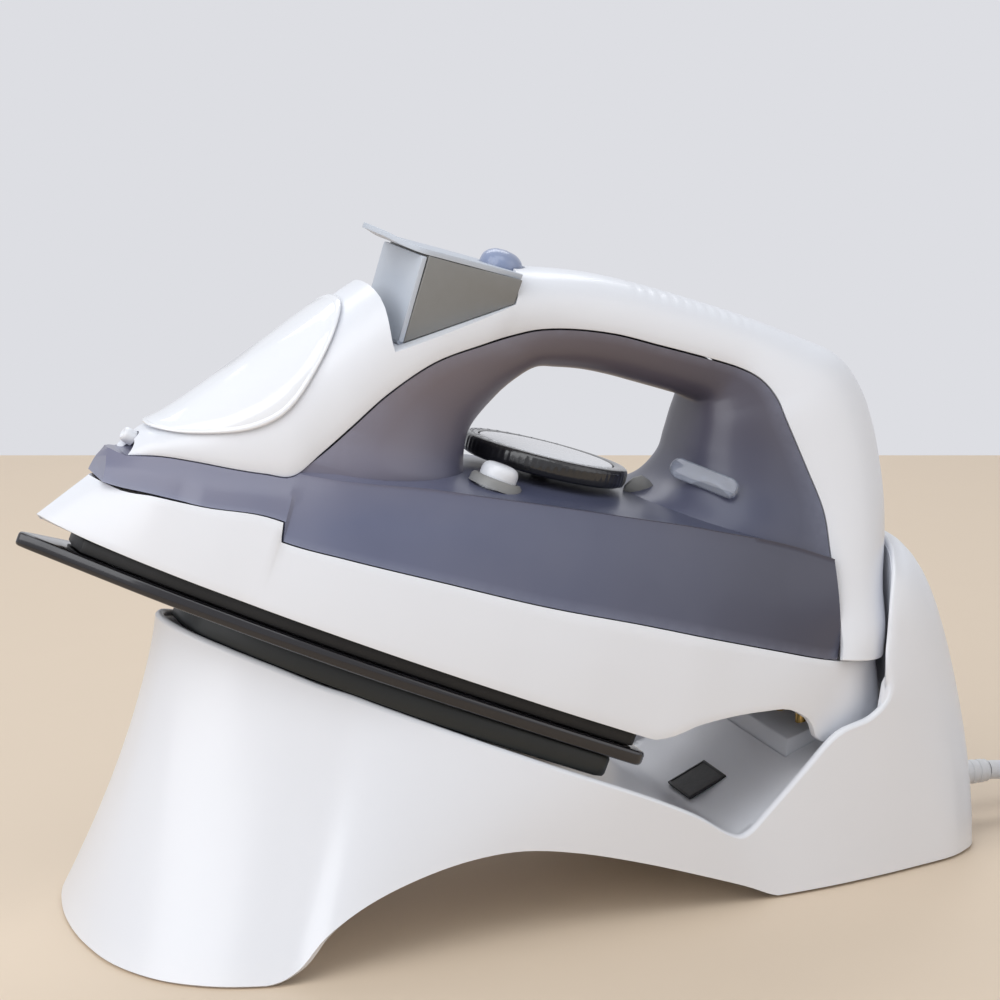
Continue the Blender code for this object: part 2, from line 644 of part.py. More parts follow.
def make_lens():
    lens = box("pilot_lens", (-12.5, -1.2, -3.4), (12.5, 1.2, 3.4))
    lens.location = Vector((200.0, -22.4, 90.5)) * MM
    lens.rotation_euler = (0, 0, math.radians(-50))
    keep(lens, (0.75, 0.78, 0.85), 0.1, 0, True)
    lamp = disc("pilot_lamp", 2.4, 82.4, 92, 214, -14, 10)
    keep(lamp, (0.9, 0.45, 0.3), 0.2, 0, True)


# ---------------------------------------------------------------- heel: contacts and screws

def make_terminals():
    outline = [(263.2, 27.4), (272.4, 35.6), (272.4, 46), (259, 46), (259, 33)]
    block = slab("iron_terminal_block", outline, -25, 25, side=True)
    keep(block, BLACK, 0.5, 0, True)
    for k, y in enumerate(CONTACT_YS):
        boolean(block, cutter(disc(f"contact_bore_{k}", 3.3, 46, 60.4, CONTACT_X, y, 12)))
    for k, y in enumerate(CONTACT_YS):
        keep(disc(f"iron_contact_{k + 1}", 3.0, 54.0, 60.0, CONTACT_X, y, 12), COPPER, 0.3, 1)
    route = smooth([(176, 0, 22.0), (190, 8, 24), (215, 16, 27), (240, 12, 36), (256.5, 6, 40)], 2)
    keep(tube("iron_wiring", route, 2.0, 1), (0.85, 0.85, 0.82), 0.6, 0, True)


def make_sole_screws():
    profile = [(3.2, 17), (3.2, 14.6), (1.6, 14.6), (1.6, 8.6), (0, 8.6), (0, 17)]
    for k, (x, y) in enumerate(SOLE_SCREWS):
        keep(turned(f"sole_screw_{k + 1}", profile, (x, y, 0), 10), METAL, 0.3, 1, True)


# ---------------------------------------------------------------- stand

def wall_point(station, part):
    """Point up the stand's wall: flared over the front leg, upright in the middle, domed at the back."""
    low, rim = Vector(STAND[station][0]), Vector(STAND[station][1])
    share = station / (len(STAND) - 1)
    flare = 1 - (1 - part) ** 1.35
    dome = 0.7 * part ** 1.7 + 0.3 * (1 - math.sqrt(max(0.0, 1 - part ** 12)))
    front = max(0.0, 1 - share / 0.42)
    back = min(1.0, max(0.0, (share - 0.62) / 0.2))
    middle = 1 - front - back
    across = front * flare + back * dome + middle * part
    point = low.lerp(rim, across)
    point.z = FOOT_CLEAR + low.z + (rim.z - FOOT_CLEAR - low.z) * part
    return point


def deck_points(station):
    """From the rim inwards and down to the deck, then to the middle line."""
    rim = Vector(STAND[station][1])
    share = station / (len(STAND) - 1)
    deck_x = min(rim.x, 126.5) + (3 if station < 3 else 0)
    deck_z = between(DECK, deck_x)
    inner_y = rim.y * 0.93
    shift = 2.6 if station == 0 else (0.0 if share < 0.9 else -1.0)
    top = Vector((rim.x + shift, inner_y, rim.z))
    foot_z = min(rim.z - 1.0, deck_z + 1.5)
    foot = Vector((min(top.x, deck_x), inner_y * 0.985, foot_z))
    half_way = Vector((deck_x, inner_y * 0.5, min(foot_z, deck_z + 0.4)))
    return [top, foot, half_way, Vector((deck_x, 0, min(foot_z, deck_z)))]


WALL_PARTS = (0, 0.12, 0.3, 0.5, 0.7, 0.85, 0.95, 1.0)


def make_base_shell():
    rows = [[wall_point(k, part) for part in WALL_PARTS] + deck_points(k) for k in range(len(STAND))]
    shell = loft("base_shell", rows)
    mirror(shell)
    solidify(shell, WALL)
    boolean(shell, cutter(box("holder_window", (87.6, -24.4, 24), (108.4, 24.4, 60))))
    bpy.ops.mesh.primitive_cylinder_add(vertices=16, radius=5.0 * MM, depth=30 * MM,
                                        location=Vector((160, 0, EXIT[2])) * MM, rotation=(0, math.pi / 2, 0))
    bpy.context.object.name = "cord_hole"
    boolean(shell, cutter(bpy.context.object))
    keep(shell, WHITE, 0.35)


def underside(name, first, last, lift):
    """Cover inside the stand's lower edge, following the arch."""
    rows = []
    for k in range(first, last + 1):
        low = Vector(STAND[k][0])
        half = max(7.0, -low.y - 7.0)
        x = min(low.x + (6.2, 6.2, 5.0, 3.4)[min(k, 3)] * (k < 4), 153.8)
        rows.append([(x, -half, low.z + lift), (x, 0, low.z + lift), (x, half, low.z + lift)])
    plate = loft(name, rows)
    solidify(plate, 1.8, 1)
    return plate


def make_base_bottom():
    cover = underside("base_bottom_cover", 0, len(STAND) - 2, 2.4)
    keep(cover, (0.8, 0.8, 0.8), 0.5)


def make_feet():
    spots = [(-128, -30), (-128, 30), (122, -26), (122, 26)]
    for k, (x, y) in enumerate(spots):
        keep(disc(f"rubber_foot_{k + 1}", 6, 0, 2.0, x, y, 16), (0.12, 0.12, 0.12), 0.8)


def pad_outline(inset):
    half = [(59, 13), (66, 20), (83, 30), (104, 38.5), (130, 46.5), (160, 51), (186, 52.5)]
    half = [(56 + inset, 4)] + [(x, w - inset) for x, w in half]
    half.append((190 - inset, 46 - inset))
    return half + [(x, -w) for x, w in reversed(half)]


def make_rest_pad():
    pad = slab("rest_pad", pad_outline(0), -7.6, -0.4)
    boolean(pad, cutter(slab("pad_hollow", pad_outline(7), -5.0, 4), True))
    keep(pad, (0.14, 0.16, 0.16), 0.6, 0)
    pad.parent = IRON_FRAME


def make_deck_plate():
    plate = box("deck_plate", (-7.5, -9, -0.5), (7.5, 9, 0.5))
    plate.location = Vector((66.5, 0, between(DECK, 66.5) + 1.5)) * MM
    plate.rotation_euler = (0, -math.atan2(7.5, 16), 0)
    keep(plate, BLACK, 0.5, 0)


def make_holder():
    holder = slab("terminal_holder", [(88, 26), (108, 26), (108, 50), (88, 43.5)], -24, 24, side=True)
    for k, y in enumerate(CONTACT_YS):
        boolean(holder, cutter(disc(f"pin_bore_{k}", 2.35, 29, 60, CONTACT_X, y, 16)))
    keep(holder, WHITE, 0.5)
    for k, y in enumerate(CONTACT_YS):
        pin = disc(f"contact_pin_{k + 1}", 2.3, 40, 52.2, CONTACT_X, y, 16, 1.6)
        keep(pin, COPPER, 0.3, 1)
        turns = [(CONTACT_X + 1.7 * math.cos(a), y + 1.7 * math.sin(a), 29.6 + 9.8 * a / (8 * math.pi))
                 for a in [2 * math.pi * j / 6 for j in range(25)]]
        keep(tube(f"contact_spring_{k + 1}", turns, 0.3, 0), METAL, 0.3, 1)


def make_power_board():
    keep(box("power_board", (84, -24, 8), (140, 24, 9.6)), (0.1, 0.3, 0.18), 0.5)
    keep(box("cord_clamp", (144, -9, 6), (150, 9, 10.8)), BLACK, 0.6)


def make_bush():
    profile = [(6.6, -8.2), (6.6, -5.6), (4.6, -5.4), (4.6, 0), (4.4, 6), (4.0, 19), (3.6, 19), (3.6, -8.2)]
    bush = turned("cord_bush", profile, (159.0, 0, EXIT[2]), 16)
    bush.rotation_euler = (0, math.pi / 2, 0)
    keep(bush, WHITE, 0.5)


# ---------------------------------------------------------------- cord, coil, tie and plug

CORD_ROUTE = [(178.3, 0, 15.5), (184, 0.5, 14.9), (190, 2.0, 12.9), (196, 4.5, 9.8), (202, 7.4, 6.8),
              (208, 10.2, 4.8), (214, 12.3, 4.0), (221, 13.5, 3.8), (228, 13.8, 3.8)]
# From the coil's top to the plug, measured from the coil's centre.
TAIL_ROUTE = [(6.5, 36.9, 24.6), (15.6, 33.5, 24.7), (23, 27.3, 25.2), (27.9, 18.9, 26.4),
              (29.6, 9.3, 27.9), (29.6, 0, 28.6)]
PLUG_GAP = 0.4


def make_cord():
    keep(tube("power_cord", smooth(CORD_ROUTE, 2), CORD_R, 2), WHITE, 0.5)
    tail = smooth([(COIL[0] + x, COIL[1] + y, z) for x, y, z in TAIL_ROUTE], 2)
    keep(tube("cord_tail", tail, CORD_R, 2), WHITE, 0.5)
    low, high = COIL_BOTTOM, COIL_BOTTOM + COIL_HEIGHT
    wide = 1.5 * 2 * CORD_R
    inner, outer = COIL_MEAN_R - wide, COIL_MEAN_R + wide
    ring = turned("cord_coil", [(outer, high), (outer, low), (inner, low), (inner, high)], (*COIL, 0), 24)
    keep(ring, WHITE, 0.5)
    band = slab("cord_tie", [(-14, 0.2), (14, 0.2), (14, high + 1.6), (-14, high + 1.6)], -3, 3, side=True)
    opening = [(-12.5, 1.3), (12.5, 1.3), (12.5, high + 0.5), (-12.5, high + 0.5)]
    inside = slab("tie_hollow", opening, -8, 8, side=True)
    for item in (band, inside):
        item.location = ((COIL[0] - COIL_MEAN_R) * MM, COIL[1] * MM, 0)
    boolean(band, cutter(inside))
    keep(band, WHITE, 0.6)


def make_plug():
    rows = []
    turns = [math.tau * k / 12 for k in range(12)]
    for y, wide, tall in ((0, 4.6, 4.6), (7, 5.0, 5.0), (15, 8.5, 6.5), (24, 12.5, 7.5), (36, 13, 7.5)):
        rows.append([(wide * math.cos(a), y, tall * math.sin(a)) for a in turns])
    plug = loft("plug", rows, close_rows=True, caps=True)
    end = TAIL_ROUTE[-1]
    place = Vector((COIL[0] + end[0], COIL[1] + end[1] - PLUG_GAP, end[2]))
    plug.location = place * MM
    plug.rotation_euler = (0, 0, math.pi)
    keep(plug, WHITE, 0.4)
    for side in (-1, 1):
        bpy.ops.mesh.primitive_cylinder_add(vertices=10, radius=2.4 * MM, depth=22 * MM,
                                            rotation=(math.pi / 2, 0, 0),
                                            location=(place + Vector((side * 9.5, -44.5, 0))) * MM)
        boolean(plug, cutter(bpy.context.object), 'UNION')


make_soleplate()
make_heat_shield()
make_casting()
make_heater()
make_steam_cover()
make_thermostat()
make_sole_screws()
make_lower_body()
make_tank()
make_upper_shell()
make_liner()
make_front_panel()
make_neck()
make_filler()
make_spray()
make_dial()
make_steam_button()
make_lens()
make_terminals()
make_base_shell()
make_base_bottom()
make_feet()
make_rest_pad()
make_deck_plate()
make_holder()
make_power_board()
make_bush()
make_cord()
make_plug()
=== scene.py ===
# %% [markdown]
# # A cordless steam iron on its charging stand
#
# The iron is docked nose-up on a white saddle-shaped stand. A white lower skirt carries a smoky blue-grey
# water tank, and one white ribbon makes the hood, the top of the handle and the heel. The mechanical model
# comes in first as a fixed frame, and every piece below is built where that frame says.

# %% Load the frame
import math

import bmesh
import bpy
from mathutils import Matrix, Vector


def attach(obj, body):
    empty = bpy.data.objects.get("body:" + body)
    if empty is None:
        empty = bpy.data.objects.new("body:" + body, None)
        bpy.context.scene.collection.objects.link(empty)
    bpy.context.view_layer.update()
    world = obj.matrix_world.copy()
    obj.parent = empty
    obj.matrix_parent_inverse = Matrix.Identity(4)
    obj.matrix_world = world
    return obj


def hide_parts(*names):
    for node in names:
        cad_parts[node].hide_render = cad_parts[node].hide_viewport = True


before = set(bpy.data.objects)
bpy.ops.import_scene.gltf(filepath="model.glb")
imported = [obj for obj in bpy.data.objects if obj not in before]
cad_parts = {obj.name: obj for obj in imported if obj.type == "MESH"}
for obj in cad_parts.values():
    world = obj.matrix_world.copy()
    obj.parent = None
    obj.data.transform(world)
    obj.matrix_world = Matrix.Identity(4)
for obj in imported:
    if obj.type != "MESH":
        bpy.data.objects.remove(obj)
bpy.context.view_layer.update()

MM = 0.001
print("nodes in the frame:", len(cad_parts))

# %% [markdown]
# ## Camera
#
# A long lens from a little above the near side, slightly towards the tip. The lens is long enough for the
# sides of the iron to stay nearly parallel, as in a catalogue picture.

# %% Camera
AZIMUTH = math.radians(-20)
ELEVATION = math.radians(12.5)
DISTANCE = 0.9
TARGET = Vector((-0.0046, 0, 0.127))
LENS = 100.4

lens = bpy.data.cameras.new("camera")
lens.lens = LENS
lens.sensor_width = 36
lens.clip_start = 0.01
camera = bpy.data.objects.new("camera", lens)
back = Vector((math.sin(AZIMUTH) * math.cos(ELEVATION), -math.cos(AZIMUTH) * math.cos(ELEVATION),
               math.sin(ELEVATION)))
camera.location = TARGET + back * DISTANCE
camera.rotation_euler = (math.pi / 2 - ELEVATION, 0, AZIMUTH)
bpy.context.scene.collection.objects.link(camera)
bpy.context.scene.camera = camera
print("camera at", [round(v, 3) for v in camera.location])

# %% [markdown]
# ## Curves through a few points
#
# Nearly every outline here is a handful of points joined by a smooth line. A Catmull-Rom line passes
# through its points, so the numbers stay readable as sizes. Where a value must never swing past its
# neighbours, as along a seam, a monotone cubic is used instead.

# %% Smooth lines and tables
def smooth_line(points, steps, before=None, after=None):
    """Catmull-Rom line through points of any number of values; before and after are its outer neighbours."""
    head = before or [2 * a - b for a, b in zip(points[0], points[1])]
    tail = after or [2 * a - b for a, b in zip(points[-1], points[-2])]
    ends = [head, *points, tail]
    line = []
    for four in zip(ends, ends[1:], ends[2:], ends[3:]):
        for j in range(steps):
            t = j / steps
            line.append(tuple(0.5 * (2 * b + (c - a) * t + (2 * a - 5 * b + 4 * c - d) * t * t
                                     + (3 * b - a - 3 * c + d) * t ** 3) for a, b, c, d in zip(*four)))
    line.append(tuple(points[-1]))
    return line


def slopes(keys, values):
    """Monotone slopes for a cubic through the values."""
    rise = [(b - a) / (q - p) for p, q, a, b in zip(keys, keys[1:], values, values[1:])]
    inner = [0.0 if a * b <= 0 else 2 * a * b / (a + b) for a, b in zip(rise, rise[1:])]
    return [rise[0]] + inner + [rise[-1]]


def table(rows):
    """Function of the first column that gives all the other columns, smoothly."""
    keys = [row[0] for row in rows]
    columns = list(zip(*[row[1:] for row in rows]))
    leans = [slopes(keys, column) for column in columns]

    def value(x):
        x = min(max(x, keys[0]), keys[-1])
        k = max(i for i, key in enumerate(keys[:-1]) if key <= x)
        h = keys[k + 1] - keys[k]
        t = (x - keys[k]) / h
        found = []
        for column, lean in zip(columns, leans):
            found.append(column[k] * (1 + 2 * t) * (1 - t) ** 2 + column[k + 1] * t * t * (3 - 2 * t)
                         + h * lean[k] * t * (1 - t) ** 2 + h * lean[k + 1] * t * t * (t - 1))
        return found[0] if len(found) == 1 else found
    return value


def spread(low, high, count):
    return [low + (high - low) * k / (count - 1) for k in range(count)]


# %% [markdown]
# ## The mains cord
#
# The cord leaves the back of the stand through a tapered strain relief, drops to the table and runs into a
# neat coil of its unused length, held by a tie. It is 1.8 m long in all, so the coil's winding is widened
# until the whole length is used.

# %% Cord route
CORD_R = 3.4
CORD_LENGTH = 1800.0
CORD_ROUTE = [(178.3, 0, 15.5), (184, 0.5, 14.9), (190, 2.0, 12.9), (196, 4.5, 9.8), (202, 7.4, 6.8),
              (208, 10.2, 4.8), (214, 12.3, 4.1), (221, 13.5, 3.9), (228, 13.8, 4.0)]
COIL = Vector((228.0, -38.0, 0))
TAIL_ROUTE = [(6.5, 36.9, 24.9), (15.6, 33.5, 25.0), (23, 27.3, 25.5), (27.9, 18.9, 26.6),
              (29.6, 9.3, 28.0), (29.6, 0, 28.6)]
# Turns wound so far, and the cord's distance from the coil's middle and height there: three turns on the
# table, two on top of them, two more on those, and a hump over the last turn to the plug.
COIL_KNOTS = [(0, 51.8, 4.0), (0.25, 48.3, 4.1), (0.5, 46.3, 4.2), (1.5, 39.4, 4.2), (2.5, 32.5, 4.2),
              (2.85, 29.9, 4.3), (3.2, 29.2, 11.0), (4.2, 36.2, 11.1), (4.9, 41.2, 11.2),
              (5.25, 42.3, 17.9), (6.2, 35.6, 18.0), (6.55, 32.6, 18.4), (6.82, 31.6, 23.6),
              (6.95, 34.6, 25.0), (7.028, 37.45, 24.9)]
TURN_POINTS = 28


def coil_line(ease):
    """Points of the winding, clockwise from above; ease widens it all the way but for its two ends."""
    at = table(COIL_KNOTS)
    end = COIL_KNOTS[-1][0]
    count = round(TURN_POINTS * end)
    points = []
    for k in range(1, count):
        turn = end * k / count
        radius, height = at(turn)
        radius += ease * min(1.0, 2.5 * turn, 2.5 * (end - turn))
        angle = math.pi / 2 - math.tau * turn
        points.append(tuple(COIL + Vector((radius * math.cos(angle), radius * math.sin(angle), height))))
    return points


def cord_line(ease):
    tail = smooth_line([tuple(COIL + Vector(p)) for p in TAIL_ROUTE], 2)
    return smooth_line(CORD_ROUTE, 2) + coil_line(ease) + tail


def length_of(line):
    return sum((Vector(b) - Vector(a)).length for a, b in zip(line, line[1:]))


short = CORD_LENGTH - length_of(cord_line(0))
widening = short / (length_of(cord_line(1)) - length_of(cord_line(0)))
cord_points = cord_line(widening)
print("cord", round(length_of(cord_points), 1), "mm, winding widened by", round(widening, 2), "mm")

# %% [markdown]
# ## From points to pieces
#
# Almost every piece is a loft: rows of points joined by a skin. A moulded wall is such a skin given
# thickness, with its edges rounded by a small bevel, because an edge without one catches no light. The iron
# is drawn in its own frame, sole flat and heel to the right, and one matrix leans it back on the stand.

# %% Places and the piece maker
PITCH = math.radians(22)
TIP = Vector((-162.0, 0, 125.2))
IRON = Matrix.Translation(TIP) @ Matrix.Rotation(PITCH, 4, 'Y')
STAND_FRAME = Matrix.Identity(4)
MILLIMETRES = Matrix.Scale(MM, 4)
SHARP = math.radians(38)       # faces that meet at more than this keep a crisp edge
SHELL = 2.2                    # thickness of the moulded walls


def loft(rows, close_rows=False, caps=False):
    """Skin through rows of points, each row as long as the next."""
    grid = bmesh.new()
    points = [[grid.verts.new(p) for p in row] for row in rows]
    wide = len(rows[0])
    columns = wide if close_rows else wide - 1
    for low, high in zip(points, points[1:]):
        for k in range(columns):
            m = (k + 1) % wide
            grid.faces.new((low[k], low[m], high[m], high[k]))
    if caps:
        grid.faces.new(points[0][::-1])
        grid.faces.new(points[-1])
    return tidy_grid(grid)


def tidy_grid(grid):
    bmesh.ops.remove_doubles(grid, verts=grid.verts, dist=0.004)
    bmesh.ops.dissolve_degenerate(grid, edges=grid.edges, dist=0.002)
    bmesh.ops.recalc_face_normals(grid, faces=grid.faces)
    return grid


def facing(grid, inside, outward=True):
    """Turn an open skin's faces away from a point on its inner side, or towards it."""
    inside = Vector(inside)
    away = sum(f.calc_area() * f.normal.dot(f.calc_center_median() - inside) for f in grid.faces)
    if (away > 0) != outward:
        bmesh.ops.reverse_faces(grid, faces=grid.faces)
    return grid


def plain_object(name, grid, place):
    grid.transform(MILLIMETRES @ place)
    mesh = bpy.data.meshes.new(name)
    grid.to_mesh(mesh)
    grid.free()
    item = bpy.data.objects.new(name, mesh)
    bpy.context.scene.collection.objects.link(item)
    return item


def settle(item):
    """Turn an object's modifiers into its mesh."""
    graph = bpy.context.evaluated_depsgraph_get()
    mesh = bpy.data.meshes.new_from_object(item.evaluated_get(graph))
    item.modifiers.clear()
    item.data = mesh
    return item


def wall(item, thick=SHELL):
    made = item.modifiers.new("wall", 'SOLIDIFY')
    made.thickness = thick * MM
    made.offset = -1
    made.use_quality_normals = True


def round_edges(item, width, segments=2, angle=45):
    made = item.modifiers.new("rounded", 'BEVEL')
    made.width = width * MM
    made.segments = segments
    made.limit_method = 'ANGLE'
    made.angle_limit = math.radians(angle)
    made.use_clamp_overlap = True


def combine(item, other, operation='DIFFERENCE'):
    """Cut another solid out of an object, or join it on; the other solid is used up."""
    made = item.modifiers.new("shape", 'BOOLEAN')
    made.operation = operation
    made.object = other
    made.solver = 'EXACT'
    settle(item)
    bpy.data.objects.remove(other, do_unlink=True)
    return item


def dress(item, body, finish, nodes=(), sharp=SHARP):
    """Shade a finished shape, give it its finish, and set it on its body in place of its plain solids."""
    item.data.polygons.foreach_set("use_smooth", [True] * len(item.data.polygons))
    item.data.set_sharp_from_angle(angle=sharp)
    item.data.materials.clear()
    item.data.materials.append(finish)
    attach(item, body)
    if nodes:
        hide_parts(*nodes)
    return item


def solid(name, rows, place):
    """Closed rings of points joined into a solid."""
    return plain_object(name, loft(rows, close_rows=True, caps=True), place)


def outline_slab(name, outline, low, high, place, side=False, rounding=0.0, segments=2):
    """Closed outline given thickness: lying between two heights, or standing between two y values."""
    if side:
        layers = [[(x, y, z) for x, z in outline] for y in (low, high)]
    else:
        layers = [[(x, y, z) for x, y in outline] for z in (low, high)]
    item = solid(name, layers, place)
    if rounding:
        round_edges(item, rounding, segments)
        settle(item)
    return item


def round_outline(radius, count=12):
    return [(radius * math.cos(math.tau * k / count), radius * math.sin(math.tau * k / count))
            for k in range(count)]


def rectangle(first, last, wide):
    """Outline from x = first to x = last, as wide on either side."""
    return [(first, -wide), (last, -wide), (last, wide), (first, wide)]


def flat_row(x, wide, low, high):
    return [(x, y, z) for y, z in ((-wide, low), (wide, low), (wide, high), (-wide, high))]


def lathe(name, profile, place, sides=48):
    """Profile of radius and height turned about the upright axis."""
    rows = [[(x, y, z) for x, y in round_outline(r, sides)] for r, z in profile]
    closed = profile[0] == profile[-1]
    return plain_object(name, loft(rows, close_rows=True, caps=not closed), place)


def at(x, y, z, turn=0.0, axis='Y'):
    return Matrix.Translation((x, y, z)) @ Matrix.Rotation(turn, 4, axis)


def drill(item, radius, low, high, place, sides=48):
    """Round hole along a place's upright axis."""
    combine(item, lathe("bore", [(radius, low), (radius, high)], place, sides))


def sweep(name, path, outline, place, closed=False, up=(0, 0, 1)):
    """Outline of (across, up) offsets carried along a path."""
    spots = [Vector(p) for p in path]
    rows = []
    for k, spot in enumerate(spots):
        after = spots[(k + 1) % len(spots)] if closed or k + 1 < len(spots) else spot
        before = spots[k - 1] if closed or k else spot
        along = (after - before).normalized()
        across = along.cross(Vector(up)).normalized()
        over = across.cross(along)
        rows.append([spot + across * a + over * b for a, b in outline])
    if closed:
        rows.append(rows[0])
    return plain_object(name, loft(rows, close_rows=True, caps=not closed), place)


print("the iron leans back", round(math.degrees(PITCH)), "degrees")

# %% [markdown]
# ## Finishes
#
# Glossy moulded plastic is never quite even: the surface has a faint swell from the mould, a very fine
# grain, and slightly duller patches where hands and cloths have been. Its edges are lighter, partly from
# scuffs and partly as a painted edge highlight. Four shader groups give those effects, and every finish
# below uses some of them with its own numbers.

# %% Shader groups
def tint(red, green, blue):
    """Colour given as it looks on a screen, 0 to 255, as a linear colour."""
    return tuple((v / 255 / 12.92) if v <= 10 else ((v / 255 + 0.055) / 1.055) ** 2.4
                 for v in (red, green, blue)) + (1.0,)


KINDS = {4: 'NodeSocketColor', 3: 'NodeSocketVector', 1: 'NodeSocketFloat'}


def place_node(tree, kind, values=(), **settings):
    """Add a node; values are (socket, value or output to link)."""
    node = tree.nodes.new(kind)
    for key, setting in settings.items():
        setattr(node, key, setting)
    for socket, value in values:
        if isinstance(value, bpy.types.NodeSocket):
            tree.links.new(value, node.inputs[socket])
        else:
            node.inputs[socket].default_value = value
    return node


def new_group(name, defaults):
    """Empty shader group, with what comes into it and the place on the object."""
    group = bpy.data.node_groups.new(name, 'ShaderNodeTree')
    for label, value in defaults.items():
        kind = KINDS[len(value) if isinstance(value, tuple) else 1]
        group.interface.new_socket(label, in_out='INPUT', socket_type=kind).default_value = value
    given = group.nodes.new('NodeGroupInput').outputs
    return group, given, place_node(group, 'ShaderNodeTexCoord').outputs['Object']


def lead_out(group, **results):
    """Give a group its outputs."""
    for label in results:
        kind = KINDS[4 if label == "Colour" else 1]
        group.interface.new_socket(label, in_out='OUTPUT', socket_type=kind)
    place_node(group, 'NodeGroupOutput', results.items())
    return group


def noise_value(tree, place, scale, detail, rough=0.5):
    values = [('Vector', place), ('Scale', scale), ('Detail', detail), ('Roughness', rough)]
    return place_node(tree, 'ShaderNodeTexNoise', values).outputs['Fac']


def maths(tree, operation, a, b, clamp=False):
    return place_node(tree, 'ShaderNodeMath', [(0, a), (1, b)], operation=operation,
                      use_clamp=clamp).outputs[0]


def times(tree, a, b, clamp=False):
    return maths(tree, 'MULTIPLY', a, b, clamp)


def ramp(tree, value, **ends):
    """Value carried from one range to another; each runs from 0 to 1 unless an end is given."""
    values = [(key.replace("_", " "), end) for key, end in ends.items()]
    return place_node(tree, 'ShaderNodeMapRange', [('Value', value)] + values).outputs['Result']


def mix_colours(tree, share, a, b, kind='MIX'):
    return place_node(tree, 'ShaderNodeMix', [(0, share), (6, a), (7, b)], data_type='RGBA',
                      blend_type=kind).outputs[2]


def build_moulded_skin():
    """Plastic out of a mould: broad mottling, fine grain and patchy gloss."""
    group, given, place = new_group("moulded_skin", {
        "Colour": (0.8, 0.8, 0.8, 1), "Mottle": 0.03, "Roughness": 0.3, "Patches": 0.06,
        "Grain Scale": 1800.0, "Grain": 0.4, "Swell": 0.5})
    broad = noise_value(group, place, 26.0, 3.0)
    patch = noise_value(group, place, 90.0, 4.0, 0.6)
    grain = noise_value(group, place, given["Grain Scale"], 2.0)
    darker = mix_colours(group, 1.0, given["Colour"], (0.62, 0.62, 0.64, 1), 'MULTIPLY')
    mottled = mix_colours(group, times(group, broad, given["Mottle"]), given["Colour"], darker)
    uneven = times(group, maths(group, 'SUBTRACT', patch, 0.5), given["Patches"])
    height = maths(group, 'ADD', times(group, grain, given["Grain"]), times(group, broad, given["Swell"]))
    return lead_out(group, Colour=mottled,
                    Roughness=maths(group, 'ADD', given["Roughness"], uneven, True), Height=height)


def build_rubbed_and_lit_edges():
    """Edges scuffed by handling and lightened as a painted edge highlight: where the surface turns sharply
    outwards, broken up by noise.
    """
    group, given, place = new_group("rubbed_and_lit_edges", {
        "Colour": (0.5, 0.5, 0.5, 1), "Worn": (0.8, 0.8, 0.8, 1), "Amount": 0.3, "Roughness": 0.3})
    bend = place_node(group, 'ShaderNodeNewGeometry').outputs['Pointiness']
    edge = ramp(group, bend, From_Min=0.53, From_Max=0.62)
    broken = ramp(group, noise_value(group, place, 300.0, 3.0), To_Min=0.3, To_Max=1.2)
    mask = times(group, times(group, edge, broken), given["Amount"], True)
    duller = maths(group, 'ADD', given["Roughness"], times(group, mask, 0.15), True)
    return lead_out(group, Colour=mix_colours(group, mask, given["Colour"], given["Worn"]), Roughness=duller)


def build_resting_dust():
    """A trace of dust and lint on faces that look up, in specks."""
    group, given, place = new_group("resting_dust", {
        "Colour": (0.5, 0.5, 0.5, 1), "Amount": 0.1, "Roughness": 0.3})
    shape = place_node(group, 'ShaderNodeNewGeometry')
    facing_up = place_node(group, 'ShaderNodeSeparateXYZ', [(0, shape.outputs['Normal'])]).outputs['Z']
    upward = ramp(group, facing_up, From_Min=0.35)
    speck = ramp(group, noise_value(group, place, 700.0, 4.0, 0.7), To_Min=-0.6, To_Max=1.5)
    share = times(group, times(group, upward, speck, True), given["Amount"], True)
    dusty = mix_colours(group, share, given["Colour"], tint(196, 192, 186))
    duller = maths(group, 'ADD', given["Roughness"], times(group, share, 0.5), True)
    return lead_out(group, Colour=dusty, Roughness=duller)


def build_brushed_metal():
    """Fine lines drawn one way, in colour, gloss and height."""
    group, given, place = new_group("brushed_metal", {
        "Colour": (0.6, 0.6, 0.6, 1), "Roughness": 0.3, "Line Scale": 900.0, "Stretch": (0.05, 1.0, 1.0),
        "Depth": 0.2})
    drawn = place_node(group, 'ShaderNodeVectorMath', [(0, place), (1, given["Stretch"])],
                       operation='MULTIPLY').outputs[0]
    lines = noise_value(group, drawn, given["Line Scale"], 3.0, 0.6)
    cloud = noise_value(group, place, 60.0, 3.0)
    dark = mix_colours(group, 1.0, given["Colour"], (0.6, 0.6, 0.6, 1), 'MULTIPLY')
    share = times(group, maths(group, 'ADD', lines, cloud), 0.35)
    uneven = ramp(group, lines, To_Min=-0.08, To_Max=0.1)
    return lead_out(group, Colour=mix_colours(group, share, given["Colour"], dark),
                    Roughness=maths(group, 'ADD', given["Roughness"], uneven, True),
                    Height=times(group, lines, given["Depth"]))


SKIN = build_moulded_skin()
RUBBED_AND_LIT = build_rubbed_and_lit_edges()
DUST = build_resting_dust()
BRUSHED = build_brushed_metal()
print("shader groups:", [g.name for g in bpy.data.node_groups])

# %% [markdown]
# A finish is a Principled shader with the groups in front of it. The numbers that are the same all over,
# such as the index of refraction or the coat's own roughness, are typed straight into the shader.

# %% The finish maker
BUMP_DISTANCE = 0.00012


def new_finish(name, **shader_values):
    finish = bpy.data.materials.new(name)
    finish.use_nodes = True
    shader = finish.node_tree.nodes["Principled BSDF"]
    for socket, value in shader_values.items():
        shader.inputs[socket.replace("_", " ")].default_value = value
    return finish, finish.node_tree, shader


def add_group(tree, group, **values):
    values = [(socket.replace("_", " "), value) for socket, value in values.items()]
    return place_node(tree, 'ShaderNodeGroup', values, node_tree=group)


